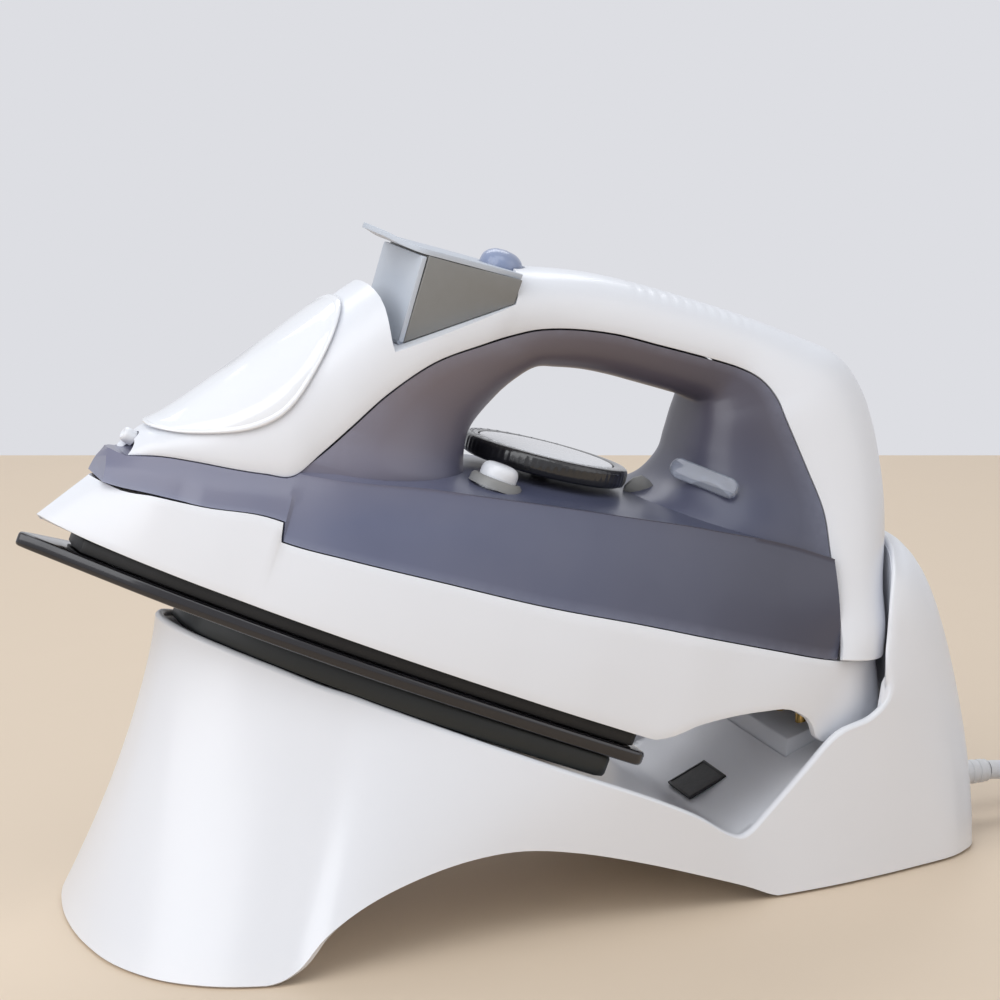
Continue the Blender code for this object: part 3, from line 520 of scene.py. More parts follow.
def connect(tree, shader, last, height=None, strength=0.0):
    """Lead the last group's colour and roughness into the shader, with a bump where there is a height."""
    tree.links.new(last.outputs["Colour"], shader.inputs["Base Color"])
    tree.links.new(last.outputs["Roughness"], shader.inputs["Roughness"])
    if height:
        bump = place_node(tree, 'ShaderNodeBump', [('Height', height), ('Strength', strength),
                                                   ('Distance', BUMP_DISTANCE)])
        tree.links.new(bump.outputs['Normal'], shader.inputs['Normal'])


def plastic(name, colour, rough, mottle=0.05, patches=0.08, grain=0.4, swell=0.4, worn_and_lit=None, wear_and_highlight=0.25,
            dust=0.08, bump=0.15, grain_scale=1800.0, **shader_values):
    """Moulded plastic: skin, edges lightened by scuffs and a painted edge highlight, and a trace of dust, one
    after the other.
    """
    finish, tree, shader = new_finish(name, **shader_values)
    skin = add_group(tree, SKIN, Colour=colour, Mottle=mottle, Roughness=rough, Patches=patches,
                     Grain_Scale=grain_scale, Grain=grain, Swell=swell)
    # Lighter edges: scuffs from handling, and a painted edge highlight.
    rubbed_and_lit = add_group(tree, RUBBED_AND_LIT, Colour=skin.outputs["Colour"], Worn=worn_and_lit or colour, Amount=wear_and_highlight,
                       Roughness=skin.outputs["Roughness"])
    dusty = add_group(tree, DUST, Colour=rubbed_and_lit.outputs["Colour"], Amount=dust,
                      Roughness=rubbed_and_lit.outputs["Roughness"])
    connect(tree, shader, dusty, skin.outputs["Height"], bump)
    return finish


def metal(name, colour, rough, scale=900.0, stretch=(0.05, 1, 1), depth=0.3, bump=0.2):
    finish, tree, shader = new_finish(name, Metallic=1.0)
    drawn = add_group(tree, BRUSHED, Colour=colour, Roughness=rough, Line_Scale=scale, Stretch=stretch,
                      Depth=depth)
    connect(tree, shader, drawn, drawn.outputs["Height"], bump)
    return finish


def glass(name, colour, rough, mottle, bump=0.0, **shader_values):
    finish, tree, shader = new_finish(name, Metallic=0.0, **shader_values)
    skin = add_group(tree, SKIN, Colour=colour, Mottle=mottle, Roughness=rough, Patches=0.06, Grain=0.2)
    connect(tree, shader, skin, skin.outputs["Height"] if bump else None, bump)
    return finish


# %% White, blue-grey and black plastics
WHITE_GLOSS = plastic("white_gloss_plastic", tint(235, 237, 243), 0.33, mottle=0.05, patches=0.06,
                      worn_and_lit=tint(244, 244, 246), wear_and_highlight=0.4, dust=0.03, bump=0.05,
                      Coat_Weight=0.22, Coat_Roughness=0.2)
WHITE_SATIN = plastic("white_satin_plastic", tint(226, 229, 236), 0.42, mottle=0.05, patches=0.1,
                      worn_and_lit=tint(240, 240, 243), wear_and_highlight=0.4, dust=0.05, bump=0.1)
CORD_WHITE = plastic("cord_white_vinyl", tint(224, 224, 226), 0.48, mottle=0.12, patches=0.15, bump=0.3,
                     dust=0.12, grain_scale=900.0)
PANEL_GLOSS = plastic("pearl_panel", tint(243, 245, 250), 0.12, mottle=0.03, patches=0.04, bump=0.03,
                      dust=0.02, Coat_Weight=0.8, Coat_Roughness=0.03)
# Grey plastic darkened as painted shade, as on the neck block's sides; the pointer and collar share it.
SHADED_GREY = plastic("grey_plastic_painted_shade", tint(128, 127, 124), 0.42, mottle=0.1, patches=0.1,
                     worn_and_lit=tint(176, 178, 182), wear_and_highlight=0.5, dust=0.1, bump=0.2)
# The same grey plastic lightened as painted light, as on the lid's lit front; the visor shares it.
LIT_GREY = plastic("grey_plastic_painted_light", tint(192, 199, 210), 0.36, mottle=0.08, patches=0.08,
                    worn_and_lit=tint(222, 226, 232), wear_and_highlight=0.4, dust=0.05, bump=0.12)
BUTTON_BLUE = plastic("blue_grey_button", tint(140, 152, 182), 0.28, mottle=0.1, worn_and_lit=tint(190, 198, 215),
                      wear_and_highlight=0.6, dust=0.06, bump=0.1, Coat_Weight=0.4, Coat_Roughness=0.1)
BLACK_GLOSS = plastic("black_gloss_plastic", tint(26, 26, 29), 0.22, mottle=0.2, patches=0.12,
                      worn_and_lit=tint(84, 84, 88), wear_and_highlight=0.35, dust=0.12, bump=0.1, Coat_Weight=0.5,
                      Coat_Roughness=0.08)
BLACK_MATT = plastic("black_heatproof_plastic", tint(17, 17, 19), 0.5, mottle=0.25, patches=0.15,
                     worn_and_lit=tint(70, 70, 72), wear_and_highlight=0.3, dust=0.06, bump=0.35, grain_scale=1200.0)
# The pad's lighter edge colour also stands for its grey-green sheen: a painted highlight.
PAD_RUBBER = plastic("rest_pad_silicone", tint(26, 30, 31), 0.42, mottle=0.3, patches=0.16,
                     worn_and_lit=tint(66, 75, 76), wear_and_highlight=0.4, dust=0.08, bump=0.3, grain_scale=700.0)
FOOT_RUBBER = plastic("foot_rubber", tint(44, 44, 46), 0.8, mottle=0.3, patches=0.2, dust=0.25, bump=0.5,
                      grain_scale=900.0)
CERAMIC = plastic("ceramic", tint(228, 222, 208), 0.55, mottle=0.15, patches=0.15, bump=0.3,
                  grain_scale=1000.0)
BOARD_GREEN = plastic("board_green", tint(36, 96, 62), 0.35, mottle=0.3, patches=0.1, bump=0.3,
                      grain_scale=1500.0)
NATURAL = plastic("natural_nylon", tint(214, 212, 204), 0.45, mottle=0.15, patches=0.1, bump=0.15)
WIRE_SLEEVE = plastic("glass_fibre_sleeve", tint(206, 203, 192), 0.75, mottle=0.3, patches=0.2, bump=0.6,
                      grain_scale=500.0)

# %% Metals and clear plastics
SOLE_COAT = plastic("sole_coating", tint(20, 18, 24), 0.2, mottle=0.3, patches=0.1, worn_and_lit=tint(92, 90, 100),
                    wear_and_highlight=0.4, dust=0.02, bump=0.12, grain_scale=2600.0, Metallic=0.25, Coat_Weight=0.7,
                    Coat_Roughness=0.08)
CAST = metal("cast_aluminium", tint(186, 187, 190), 0.45, scale=400.0, stretch=(1, 1, 1), depth=0.8,
             bump=0.5)
STEEL = metal("bright_steel", tint(200, 200, 204), 0.24)
BRASS = metal("contact_brass", tint(214, 176, 104), 0.26, stretch=(1, 1, 0.08))
CLEAR = glass("clear_plastic", tint(206, 212, 226), 0.1, 0.08, 0.08, IOR=1.49, Transmission_Weight=0.75,
              Coat_Weight=0.3)
LAMP = glass("pilot_lamp_glass", tint(226, 120, 70), 0.15, 0.2, IOR=1.5, Transmission_Weight=0.3)

# %% [markdown]
# The tank is smoky blue-grey and lets a little light through, so it is not one colour: it is warmer up in
# the grip where the white ribbon behind shows through, and softly cloudy. Shade is painted on it as well: it
# is palest at the nose and darker towards the heel, the side that gets less light. That is a gradient along
# the object's height and length, mixed with a slow noise, under a soft gloss.

# %% The smoky tank
def build_smoke():
    group, given, place = new_group("smoky_cloud_and_heel_shade", {
        "Deep": tint(90, 98, 132), "Pale": tint(136, 143, 170), "Grip": tint(132, 120, 124), "Low": 0.13,
        "High": 0.19, "Cloud": 0.5, "HeelShade": tint(44, 42, 57), "Depth": 0.8})
    spot = place_node(group, 'ShaderNodeSeparateXYZ', [(0, place)]).outputs
    rise = ramp(group, spot['Z'], From_Min=given["Low"], From_Max=given["High"])
    cloud = noise_value(group, place, 18.0, 3.0, 0.55)
    drift = times(group, maths(group, 'SUBTRACT', cloud, 0.5), given["Cloud"])
    body = mix_colours(group, cloud, given["Deep"], given["Pale"])
    body = mix_colours(group, maths(group, 'ADD', rise, drift, True), body, given["Grip"])
    # Painted shade: the colour darkens towards the heel, the side the key light reaches least; Depth sets how
    # far.
    heel_shade_share = times(group, ramp(group, spot['X'], From_Min=-0.13, From_Max=0.075), given["Depth"])
    return lead_out(group, Colour=mix_colours(group, heel_shade_share, body, given["HeelShade"]))


SMOKE = build_smoke()


def smoky_plastic(name, rough, coat, **smoke):
    finish, tree, shader = new_finish(name, Coat_Weight=coat, Coat_Roughness=0.2)
    # Cloudy smoky colour, with painted shade darkening it towards the heel.
    depth = add_group(tree, SMOKE, **smoke)
    skin = add_group(tree, SKIN, Colour=depth.outputs["Colour"], Mottle=0.06, Roughness=rough,
                     Patches=0.08, Grain=0.15, Swell=0.6)
    # Lighter edges: scuffs from handling, and a painted edge highlight.
    rubbed_and_lit = add_group(tree, RUBBED_AND_LIT, Colour=skin.outputs["Colour"], Worn=tint(160, 166, 188), Amount=0.35,
                       Roughness=skin.outputs["Roughness"])
    connect(tree, shader, rubbed_and_lit, skin.outputs["Height"], 0.05)
    return finish


TANK_SMOKE = smoky_plastic("smoky_tank_plastic", 0.34, 0.25)
# In the grip the painted shade towards the heel is a little weaker (Depth 0.72).
GRIP_SMOKE = smoky_plastic("smoky_grip_plastic", 0.4, 0.15, Low=0.125, High=0.175, Depth=0.72)
print("finishes:", len(bpy.data.materials))

# %% [markdown]
# ## Floor, lamps and sky
#
# The object stands on a plain pale table whose far edge meets a light wall. The wall is only the sky colour
# that camera, mirror and glass rays see; the lamps are a large soft key on the tip's side, a weak warm
# fill on the heel's side, one behind and one above, so that white plastic keeps its shape without hard
# shadows.

# %% Stage and light
TABLE_SIDE, TABLE_NEAR, TABLE_FAR = 2400, -2200, 690      # its edges, from the object's middle
depth = Vector((-math.sin(AZIMUTH), math.cos(AZIMUTH), 0))
across = Vector((depth.y, -depth.x, 0))
table_edges = [[across * a + depth * b for a in (-TABLE_SIDE, TABLE_SIDE)] for b in (TABLE_NEAR, TABLE_FAR)]
floor = plain_object("floor", facing(loft(table_edges), (0, 0, -10)), STAND_FRAME)
FLOOR_PAINT = plastic("pale_table", tint(226, 207, 184), 0.55, mottle=0.04, patches=0.06, grain=0.3,
                      dust=0.0, wear_and_highlight=0.0, bump=0.05)
floor.data.materials.append(FLOOR_PAINT)

for name, place, aim, size, watts, colour in (
        ("key", (-1.2, -0.5, 0.95), (0, 0, 0.1), (1.5, 1.2), 12.0, (0.965, 0.98, 1.0)),
        ("fill", (0.95, -1.0, 0.7), (0, 0, 0.1), (1.3, 1.2), 3.1, (1.0, 0.97, 0.94)),
        ("back", (0.2, 0.9, 1.1), (0, 0, 0.15), (1.2, 0.5), 5.0, (0.97, 0.98, 1.0)),
        ("top", (-0.2, -0.5, 1.35), (0, 0, 0.15), (1.0, 0.8), 4.4, (0.94, 0.97, 1.0))):
    lamp = bpy.data.lights.new(name, 'AREA')
    lamp.shape = 'RECTANGLE'
    lamp.size, lamp.size_y = size
    lamp.energy = watts
    lamp.color = colour
    item = bpy.data.objects.new(name, lamp)
    item.location = place
    item.rotation_euler = (Vector(aim) - Vector(place)).to_track_quat('-Z', 'Y').to_euler()
    bpy.context.scene.collection.objects.link(item)

sky = bpy.data.worlds.new("studio")
sky.use_nodes = True
bpy.context.scene.world = sky
sky_tree = sky.node_tree
sky_tree.nodes.clear()
SKY_LIGHT = 0.42               # how brightly the sky lights the object; it is seen at full strength
rays = sky_tree.nodes.new('ShaderNodeLightPath')
seen = maths(sky_tree, 'MAXIMUM', rays.outputs['Is Camera Ray'], rays.outputs['Is Transmission Ray'])
seen = maths(sky_tree, 'MAXIMUM', seen, rays.outputs['Is Glossy Ray'])
lit = place_node(sky_tree, 'ShaderNodeBackground', [('Color', (0.93, 0.96, 1.0, 1)), ('Strength', SKY_LIGHT)])
shown = place_node(sky_tree, 'ShaderNodeBackground', [('Color', tint(221, 222, 227)), ('Strength', 1.0)])
mixed = place_node(sky_tree, 'ShaderNodeMixShader', [(0, seen), (1, lit.outputs[0]), (2, shown.outputs[0])])
place_node(sky_tree, 'ShaderNodeOutputWorld', [(0, mixed.outputs[0])])
view = bpy.context.scene.view_settings
view.view_transform = 'Standard'

# %% [markdown]
# ## Soleplate, heat shield and casting
#
# The sole is a coated aluminium plate with a pointed tip, steam vents and a rounded rim. Above it a black
# heatproof ring closes the gap to the skirt, and the cast block inside carries the heating element.

# %% The sole's plan
SOLE_THICK = 4.5
SOLE_PLAN = [(0, 0.6), (4, 3.6), (10, 7.0), (22, 14), (40, 24), (58, 32), (80, 40.5), (110, 48), (140, 52.5),
             (168, 55), (190, 56), (199.5, 56.3)]
sole_width = table(SOLE_PLAN)


def corner_arc(end, wide, radius):
    """Points round a corner whose two sides lie at x = end and y = wide."""
    turns = [math.pi / 2 * k / 6 for k in range(1, 7)]
    return [(end - radius + radius * math.sin(t), wide - radius + radius * math.cos(t)) for t in turns]


def mirrored_outline(half):
    return half + [(x, -w) for x, w in reversed(half) if w > 0]


def plan_outline(inset, first, last, corner=4.0, count=44):
    """Outline of the sole's plan shrunk by an inset, with its two heel corners rounded."""
    half = [(first, 0.0)]
    for k in range(1, count + 1):
        x = first + (last - corner - first) * (k / count) ** 1.4
        half.append((x, max(0.3, sole_width(x) - inset)))
    return mirrored_outline(half + corner_arc(last, half[-1][1], corner))


sole = outline_slab("soleplate_plate", plan_outline(0, 0.0, 199.5), 0, SOLE_THICK, IRON, rounding=1.1,
                    segments=3)
VENTS = [(58, 14), (84, 14), (112, 14), (142, 14), (172, 14)]
for x, inward in VENTS:
    for side in (-1, 1):
        y = side * (sole_width(x) - inward)
        drill(sole, 2.0, -2, 7, IRON @ at(x, y, 0), 20)
dress(sole, "iron", SOLE_COAT, ["soleplate"])

shield = outline_slab("heat_shield_ring", plan_outline(3, 17.0, 196.0), SOLE_THICK + 0.4, 9.2, IRON,
                      rounding=0.5)
combine(shield, outline_slab("hollow", plan_outline(6, 26.0, 193.0), SOLE_THICK - 2, 12.0, IRON))
dress(shield, "iron", BLACK_MATT, ["heat_shield"])
print("sole", len(sole.data.polygons), "faces; vents", 2 * len(VENTS))

# %% Casting and its screws
casting = outline_slab("casting_block", plan_outline(7, 34.0, 192.0), SOLE_THICK + 0.4, 14.0, IRON,
                       rounding=0.8)
HEATER_PATH = [(186, 22, 14), (150, 24, 14), (110, 20, 14), (74, 10, 14), (62, 0, 14), (74, -10, 14),
               (110, -20, 14), (150, -24, 14), (186, -22, 14)]
groove_path = smooth_line([(x, y, z - 0.5) for x, y, z in HEATER_PATH], 4)
combine(casting, sweep("groove", groove_path, round_outline(3.8), IRON))
SOLE_SCREWS = [(165, 38), (165, -38)]
for x, y in SOLE_SCREWS:
    drill(casting, 1.9, 8, 20, IRON @ at(x, y, 0), 16)
dress(casting, "iron", CAST, ["sole_casting"])
element_path = smooth_line([(x, y, z - 0.3) for x, y, z in HEATER_PATH], 6)
element = sweep("heater_tube", element_path, round_outline(3.1, 16), IRON)
dress(element, "iron", STEEL, ["heating_element"])
SCREW_HEAD = [(0, 17.0), (1.4, 16.9), (2.6, 16.3), (3.2, 15.4), (3.2, 14.6), (1.6, 14.6), (1.6, 8.6),
              (0, 8.6)]
for k, (x, y) in enumerate(SOLE_SCREWS):
    screw = lathe(f"casting_screw_{k + 1}", SCREW_HEAD, IRON @ at(x, y, 0), 24)
    for turn in (0, math.pi / 2):
        slot = outline_slab("slot", rectangle(-2.2, 2.2, 0.35), 15.8, 18, IRON @ at(x, y, 0, turn, 'Z'))
        combine(screw, slot)
    dress(screw, "iron", STEEL, [f"sole_screw_{k + 1}"])
print("casting", len(casting.data.polygons), "faces")

# %% [markdown]
# ## White skirt
#
# The skirt is the lower white shell. In plan it is a long boat shape; its top edge is the seam with the tank,
# which steps down behind the nose, and its lower edge runs just above the sole and then arches up behind it
# to meet the heel's foot. Half of it is a loft of short upright rows, mirrored across the middle.

# %% Skirt
BODY_PLAN = [(3.5, 0), (7, 5.5), (12, 10), (20, 16), (32, 23.5), (48, 31), (66.6, 38), (68.0, 38.6),
             (90, 45.5), (115, 51), (145, 55), (175, 57), (200, 57), (222, 54.5), (240, 51.3), (254, 47.5),
             (266, 43), (274, 37.5), (280, 29), (283.5, 18), (285, 0)]
SEAM = [(3.5, 27.6), (15, 27.6), (30, 29.9), (44, 32.1), (62, 36), (66.6, 36.2), (68.0, 30.4), (88, 32.1),
        (116, 35), (148, 38), (183, 42.5), (232, 47.5), (256, 49.8), (285, 56.4)]
HEM = [(3.5, 11), (20, 10), (60, 9.6), (198, 9.6), (205, 12.5), (213, 18.3), (234, 28), (245, 31),
       (254, 29.5), (262, 23.5), (267, 26), (285, 45)]
body_width, seam_height, hem_height = table(BODY_PLAN), table(SEAM), table(HEM)
NOSE_X, HEEL_X, END_X = 3.5, 262, 285          # the nose's front, where the heel's back begins, its end
STEP_X = (66.6, 68.0)          # the seam drops here, behind the nose
NOSE_RUN, NOSE_LEAN = 26, 11   # the nose leans back by this much at its front, and less over this run
HEEL_LEAN = 0.6                # the heel's back leans out below the seam by this share of its height
TUCK = 0.93                    # width at the seam, as a share of the width at the hem
SWELL = 0.4                    # outward swell of the side, half-way up
SEAM_GAP = 0.2                 # the skirt and the tank each stop this short of the seam


def stations(first, last, step, extra=()):
    count = max(2, round((last - first) / step))
    return sorted(set([round(first + (last - first) * k / count, 3) for k in range(count + 1)]) | set(extra))


def mirrored(grid):
    geometry = grid.verts[:] + grid.edges[:] + grid.faces[:]
    bmesh.ops.mirror(grid, geom=geometry, matrix=Matrix.Identity(4), merge_dist=0.02, axis='Y')
    return tidy_grid(grid)


def skirt_row(x):
    """From the hem up to the seam on the near side, with the side's shallow swell."""
    width = body_width(x)
    hem, top = hem_height(x), seam_height(x) - SEAM_GAP
    lean = NOSE_LEAN * max(0.0, 1 - (x - NOSE_X) / NOSE_RUN)
    heel = HEEL_LEAN * (top - hem) * max(0.0, (x - HEEL_X) / (END_X - HEEL_X))
    upper = width * (TUCK if x > 40 else 0.99 - (0.99 - TUCK) * (x - NOSE_X) / (40 - NOSE_X))
    row = []
    for part in spread(0, 1, 9):
        side = width + (upper - width) * part + SWELL * math.sin(math.pi * part) * (width > 1)
        row.append((x + lean * part + heel * (1 - part), -side, hem + (top - hem) * part))
    return row


nose_stations = [NOSE_X + 8.5 * (k / 9) ** 2 for k in range(10)]
heel_stations = [END_X - 12 * (k / 12) ** 2 for k in range(12, -1, -1)]
rows = [skirt_row(x) for x in nose_stations + stations(13.5, 271.5, 3.0, STEP_X) + heel_stations]
skirt = plain_object("skirt", facing(mirrored(loft(rows)), (150, 0, 30)), IRON)
wall(skirt)
round_edges(skirt, 0.45, 2, 50)
settle(skirt)
# A floor behind the sole closes the heel from below.
WEB_THICK = 1.8
web_rows = []
for x in spread(203, 257, 19):
    low = hem_height(x) + 1.2
    web_rows.append(flat_row(x, body_width(x) - 1.4, low, low + WEB_THICK))
combine(skirt, solid("web", web_rows, IRON), 'UNION')
dress(skirt, "iron", WHITE_GLOSS, ["lower_body"])
print("skirt", len(skirt.data.polygons), "faces")

# %% [markdown]
# ## White ribbon: hood, grip and heel
#
# One long white moulding rises from the nose as the hood, runs back as the top of the grip and comes down as
# the heel. Its section is a rounded arch, the two inner edges lying against the tank and the grip liner.
# Twenty-seven listed arches describe it; the rows between them come from one smooth line. Shallow ribs
# cross the grip's top so that a thumb doesn't slide.

# %% Ribbon
RIBBON = [(21.5, 37.6, 23.2, 42.4, 8), (30, 41, 26, 46.5, 13.5), (40, 43.3, 33, 53, 18),
          (50, 45.2, 41, 63.5, 22.5), (59, 47.2, 49, 74.5, 25.8), (67, 49.6, 56, 84.5, 28),
          (73, 59, 63, 94.5, 28), (79, 69.5, 70, 104, 28), (87, 83, 80, 116, 27.2),
          (98, 96.5, 96, 126.5, 26), (112, 106.8, 112, 131, 23.5), (121, 112.3, 124, 133.5, 20.5),
          (130, 117, 134, 136.2, 18.5), (142, 121, 145, 138.8, 17.2), (156, 124, 158, 140.8, 16.8),
          (170, 125.4, 172, 142.2, 16.8), (187, 127, 188, 143.3, 17), (200, 127.8, 203, 144, 17.5),
          (208, 126.8, 222, 144, 19.5), (214.5, 123, 238, 143.2, 22), (219.5, 117, 249, 137, 25),
          (230, 105.5, 258, 126.5, 28.5), (240, 94, 266.5, 112, 32), (246, 82, 272.5, 98, 35.5),
          (253, 67, 277.5, 80, 40), (257, 57, 282.3, 68, 44), (258.5, 51.1, 285, 57.4, 46)]
ARCH_POWER = 0.8
RIB_FIRST, RIB_LAST, RIB_PITCH, RIB_DEPTH = 158.0, 206.0, 4.4, 0.28


def squared(value, power):
    return math.copysign(abs(value) ** power, value)


def arch(row, power, steps, ribbed=False):
    """Half ring from the near inner edge over the outer line to the far inner edge."""
    ix, iz, ox, oz, wide, *flare = row
    points = []
    for k in range(steps + 1):
        turn = math.pi * (k / steps - 0.5)
        out = abs(math.cos(turn)) ** power
        reach = wide + (flare[0] * math.sin(math.pi * min(1.0, out)) if flare else 0.0)
        side = squared(math.sin(turn), power) * reach
        point = Vector((ix + (ox - ix) * out, side, iz + (oz - iz) * out))
        if ribbed and RIB_FIRST < ox < RIB_LAST:
            ends = min(1.0, (ox - RIB_FIRST) / 3, (RIB_LAST - ox) / 3)
            top = max(0.0, (out - 0.75) / 0.25)
            wave = 0.5 - 0.5 * math.cos(math.tau * (ox - RIB_FIRST) / RIB_PITCH)
            point.z -= RIB_DEPTH * ends * min(1.0, 2 * top) * wave
        points.append(point)
    return points


ribbon_rows = smooth_line(RIBBON, 12)
ribbon_grid = facing(loft([arch(row, ARCH_POWER, 30, True) for row in ribbon_rows]), (155, 0, 85))
ribbon = plain_object("ribbon", ribbon_grid, IRON)
wall(ribbon)
round_edges(ribbon, 0.5, 2, 60)
settle(ribbon)
NOTCH = [(73.5, 116), (75.0, 112.6), (75.8, 111.3), (77.4, 109.1), (78.8, 106.5), (80.4, 102.8), (82, 99.2),
         (83.2, 96.9), (84.4, 95.2), (118.6, 121.6), (118.6, 150), (50, 150)]
SPRAY_X, SPRAY_R = 117.0, 7.0
SPRAY_AXIS, FILLER_AXIS = IRON @ at(SPRAY_X, 0, 0), IRON @ at(88, 0, 0)
combine(ribbon, outline_slab("notch", NOTCH, -60, 60, IRON, side=True))
# Floor of the recess that the block sits in, with a hole over the filler's funnel.
SEAT = [(84.4, 95.14, 24.9), (101.5, 108.34, 22.6), (118.6, 121.54, 18.4)]
seat_rows = [[(x, -w, z), (x, w, z), (x + 0.9, w, z - 1.2), (x + 0.9, -w, z - 1.2)] for x, z, w in SEAT]
combine(ribbon, solid("seat", seat_rows, IRON), 'UNION')
drill(ribbon, 8.8, 90, 106, FILLER_AXIS, 32)
NOZZLE = IRON @ at(22.0, 0, 42.5, math.radians(-78))
drill(ribbon, 2.8, -6, 6, NOZZLE, 32)
drill(ribbon, SPRAY_R + 0.5, 118, 150, SPRAY_AXIS)
dress(ribbon, "iron", WHITE_GLOSS, ["upper_shell"])
print("ribbon", len(ribbon.data.polygons), "faces")

# %% [markdown]
# ## Smoky tank and grip liner
#
# The tank sits inside the ribbon, from the seam up to a shoulder and a shallow deck on which the dial
# turns. The liner is the same smoky plastic carried round the inside of the grip. Both stop a hair short of
# the ribbon's inner edge, which leaves the thin dark joint line of two mouldings that meet.

# %% Tank
SHOULDER = [(15, 1, 36, 37), (20, 8, 38, 39), (30, 13.6, 41.4, 42), (50, 22.6, 46, 47), (67, 28.6, 50.4, 52),
            (82, 35, 54, 62), (106, 39, 60, 65), (124, 41.5, 63.6, 67.4), (153, 43, 69, 72.6),
            (173, 44, 72.5, 75.4), (194, 44, 76, 78.6), (232, 40, 80, 80.4), (250, 38, 80.4, 81.2),
            (264, 36, 81, 81.5)]
shoulder_at = table(SHOULDER)
JOINT = 0.22


def tank_row(x, inset):
    """Closed section of the tank at a station, drawn smaller by an inset."""
    crease, shoulder, deck = (v - inset for v in shoulder_at(x))
    wide = body_width(max(NOSE_X, x - 3 * (x < 40))) * TUCK - SEAM_GAP - inset
    low = seam_height(x - 0.6) + SEAM_GAP + inset
    knots = [(wide, low), ((wide + crease) / 2 + 1.0, (low + shoulder) / 2), (crease + 0.5, shoulder - 1.2),
             (crease - 1.2, shoulder + 0.3), (crease * 0.6, shoulder * 0.35 + deck * 0.65),
             (crease * 0.25, deck - 0.15), (0.0, deck)]
    side = smooth_line(knots, 4, after=(-crease * 0.25, deck - 0.15))
    near = [(x, -y, z) for y, z in side]
    return near + [(x, y, z) for y, z in side[-2::-1]]


def ribbon_side(grow):
    """Prism of everything on the ribbon's side of its inner edge, grown by a joint's width."""
    inner = [Vector(row[:2]) for row in smooth_line(RIBBON, 4)]
    edge = []
    for before, spot, after in zip([inner[0]] + inner, inner, inner[1:] + [inner[-1]]):
        along = (after - before).normalized()
        edge.append((spot.x + along.y * grow, spot.y - along.x * grow))
    outside = [(262 - grow, 30), (330, 30), (330, 200), (0, 200), (0, 37.5 - grow)]
    return outline_slab("ribbon_side", edge + outside, -90, 90, IRON, side=True)


tank_stations = stations(16.5, 66.0, 2.5) + [67.2, 68.6] + stations(71, 262, 3.0)
tank = solid("tank", [tank_row(x, 0) for x in tank_stations], IRON)
combine(tank, ribbon_side(JOINT))
hollow = solid("hollow", [tank_row(x, SHELL) for x in tank_stations[1:-1]], IRON)
combine(hollow, ribbon_side(JOINT + SHELL))
combine(tank, hollow)
DIAL_CENTRE = Vector((154.5, 0, 78))
DIAL_TILT = math.radians(-7)
DIAL = IRON @ at(*DIAL_CENTRE, DIAL_TILT)
STEAM_X, STEAM_Y = 130.0, -28.0
STEAM_AXIS = IRON @ at(STEAM_X, STEAM_Y, 0)
drill(tank, 3.5, -60, 12, DIAL, 24)
drill(tank, 6.3, 60, 84, STEAM_AXIS, 32)
drill(tank, 2.0, 28, 46, STEAM_AXIS, 16)
drill(tank, 7.8, 54, 76, FILLER_AXIS, 24)
dress(tank, "iron", TANK_SMOKE, ["water_tank"])
print("tank", len(tank.data.polygons), "faces")

# %% Liner
OPENING = [(124, 68.8), (122.8, 80), (127, 92), (131.5, 99.5), (137, 104.8), (144, 107), (153, 109.2),
           (163, 110.6), (173, 111.4), (184, 112.2), (191, 112.6), (194, 112.4), (194.6, 110),
           (195.2, 106), (196, 99), (197, 92), (198, 82)]
LINER_POWER = 0.7
# Where the grip's two columns run out on to the tank: ribbon point, opening edge, half-width, flare.
FRONT_FOOT = [(67, 49.6, 134, 56, 27, 8), (73, 59, 129, 64.2, 28, 7.5)]
BACK_FOOT = [(249.5, 74.5, 184, 77.3, 37, 5.0), (251, 71, 178, 74, 36.5, 3.5)]
FLARES = {7: 3.0, 8: 0.6, 22: 1.2, 23: 5.0}
EDGE_MOVES = {7: (1.0, 0.8), 22: (-0.4, 0.0), 23: (-5.0, 1.5)}


def liner_row(ix, iz, edge, wide, flare):
    """An arch turned round to face the finger opening, starting a gap inside the ribbon."""
    start = Vector((ix, iz))
    start += (Vector(edge) - start).normalized() * 0.6
    return (start.x, start.y, edge[0], edge[1], wide, flare)


liner_knots = [liner_row(a, b, (c, d), wide, flare) for a, b, c, d, wide, flare in FRONT_FOOT]
for k, edge in enumerate(OPENING, 7):
    move = EDGE_MOVES.get(k, (0.0, 0.0))
    ix, iz, _, _, wide = RIBBON[k]
    liner_knots.append(liner_row(ix, iz, (edge[0] + move[0], edge[1] + move[1]), wide, FLARES.get(k, 0.0)))
liner_knots += [liner_row(a, b, (c, d), wide, flare) for a, b, c, d, wide, flare in BACK_FOOT]
liner_rows = smooth_line(liner_knots, 8)
liner_grid = facing(loft([arch(row, LINER_POWER, 26) for row in liner_rows]), (155, 0, 95), False)
liner = plain_object("grip_liner", liner_grid, IRON)
wall(liner, 2.0)
settle(liner)
combine(liner, ribbon_side(JOINT))
dress(liner, "iron", GRIP_SMOKE, ["handle_liner"])
print("liner", len(liner.data.polygons), "faces")

# %% [markdown]
# ## Pearl panel on the hood
#
# A glossy oval badge plate covers the hood's front, slightly proud, with a fine rounded rim. It is lofted in
# rings from its middle outwards on the hood's own surface, so that it follows the curve.

# %% Panel
PANEL_LIFT = 1.7               # the panel's face above the hood
PANEL_MIDDLE, PANEL_HALF = 0.508, 0.49         # where it lies along the hood, as shares of the hood's rows
PANEL_SPREAD, PANEL_TAPER = 1.14, 0.12         # how far it goes round the hood, and less so at the top
PANEL_UP = Vector((-0.85, 1.0, 0.53))          # its way out: along, across and up
FIRST_HOOD_ROW, HOOD_ROWS = 12, 72


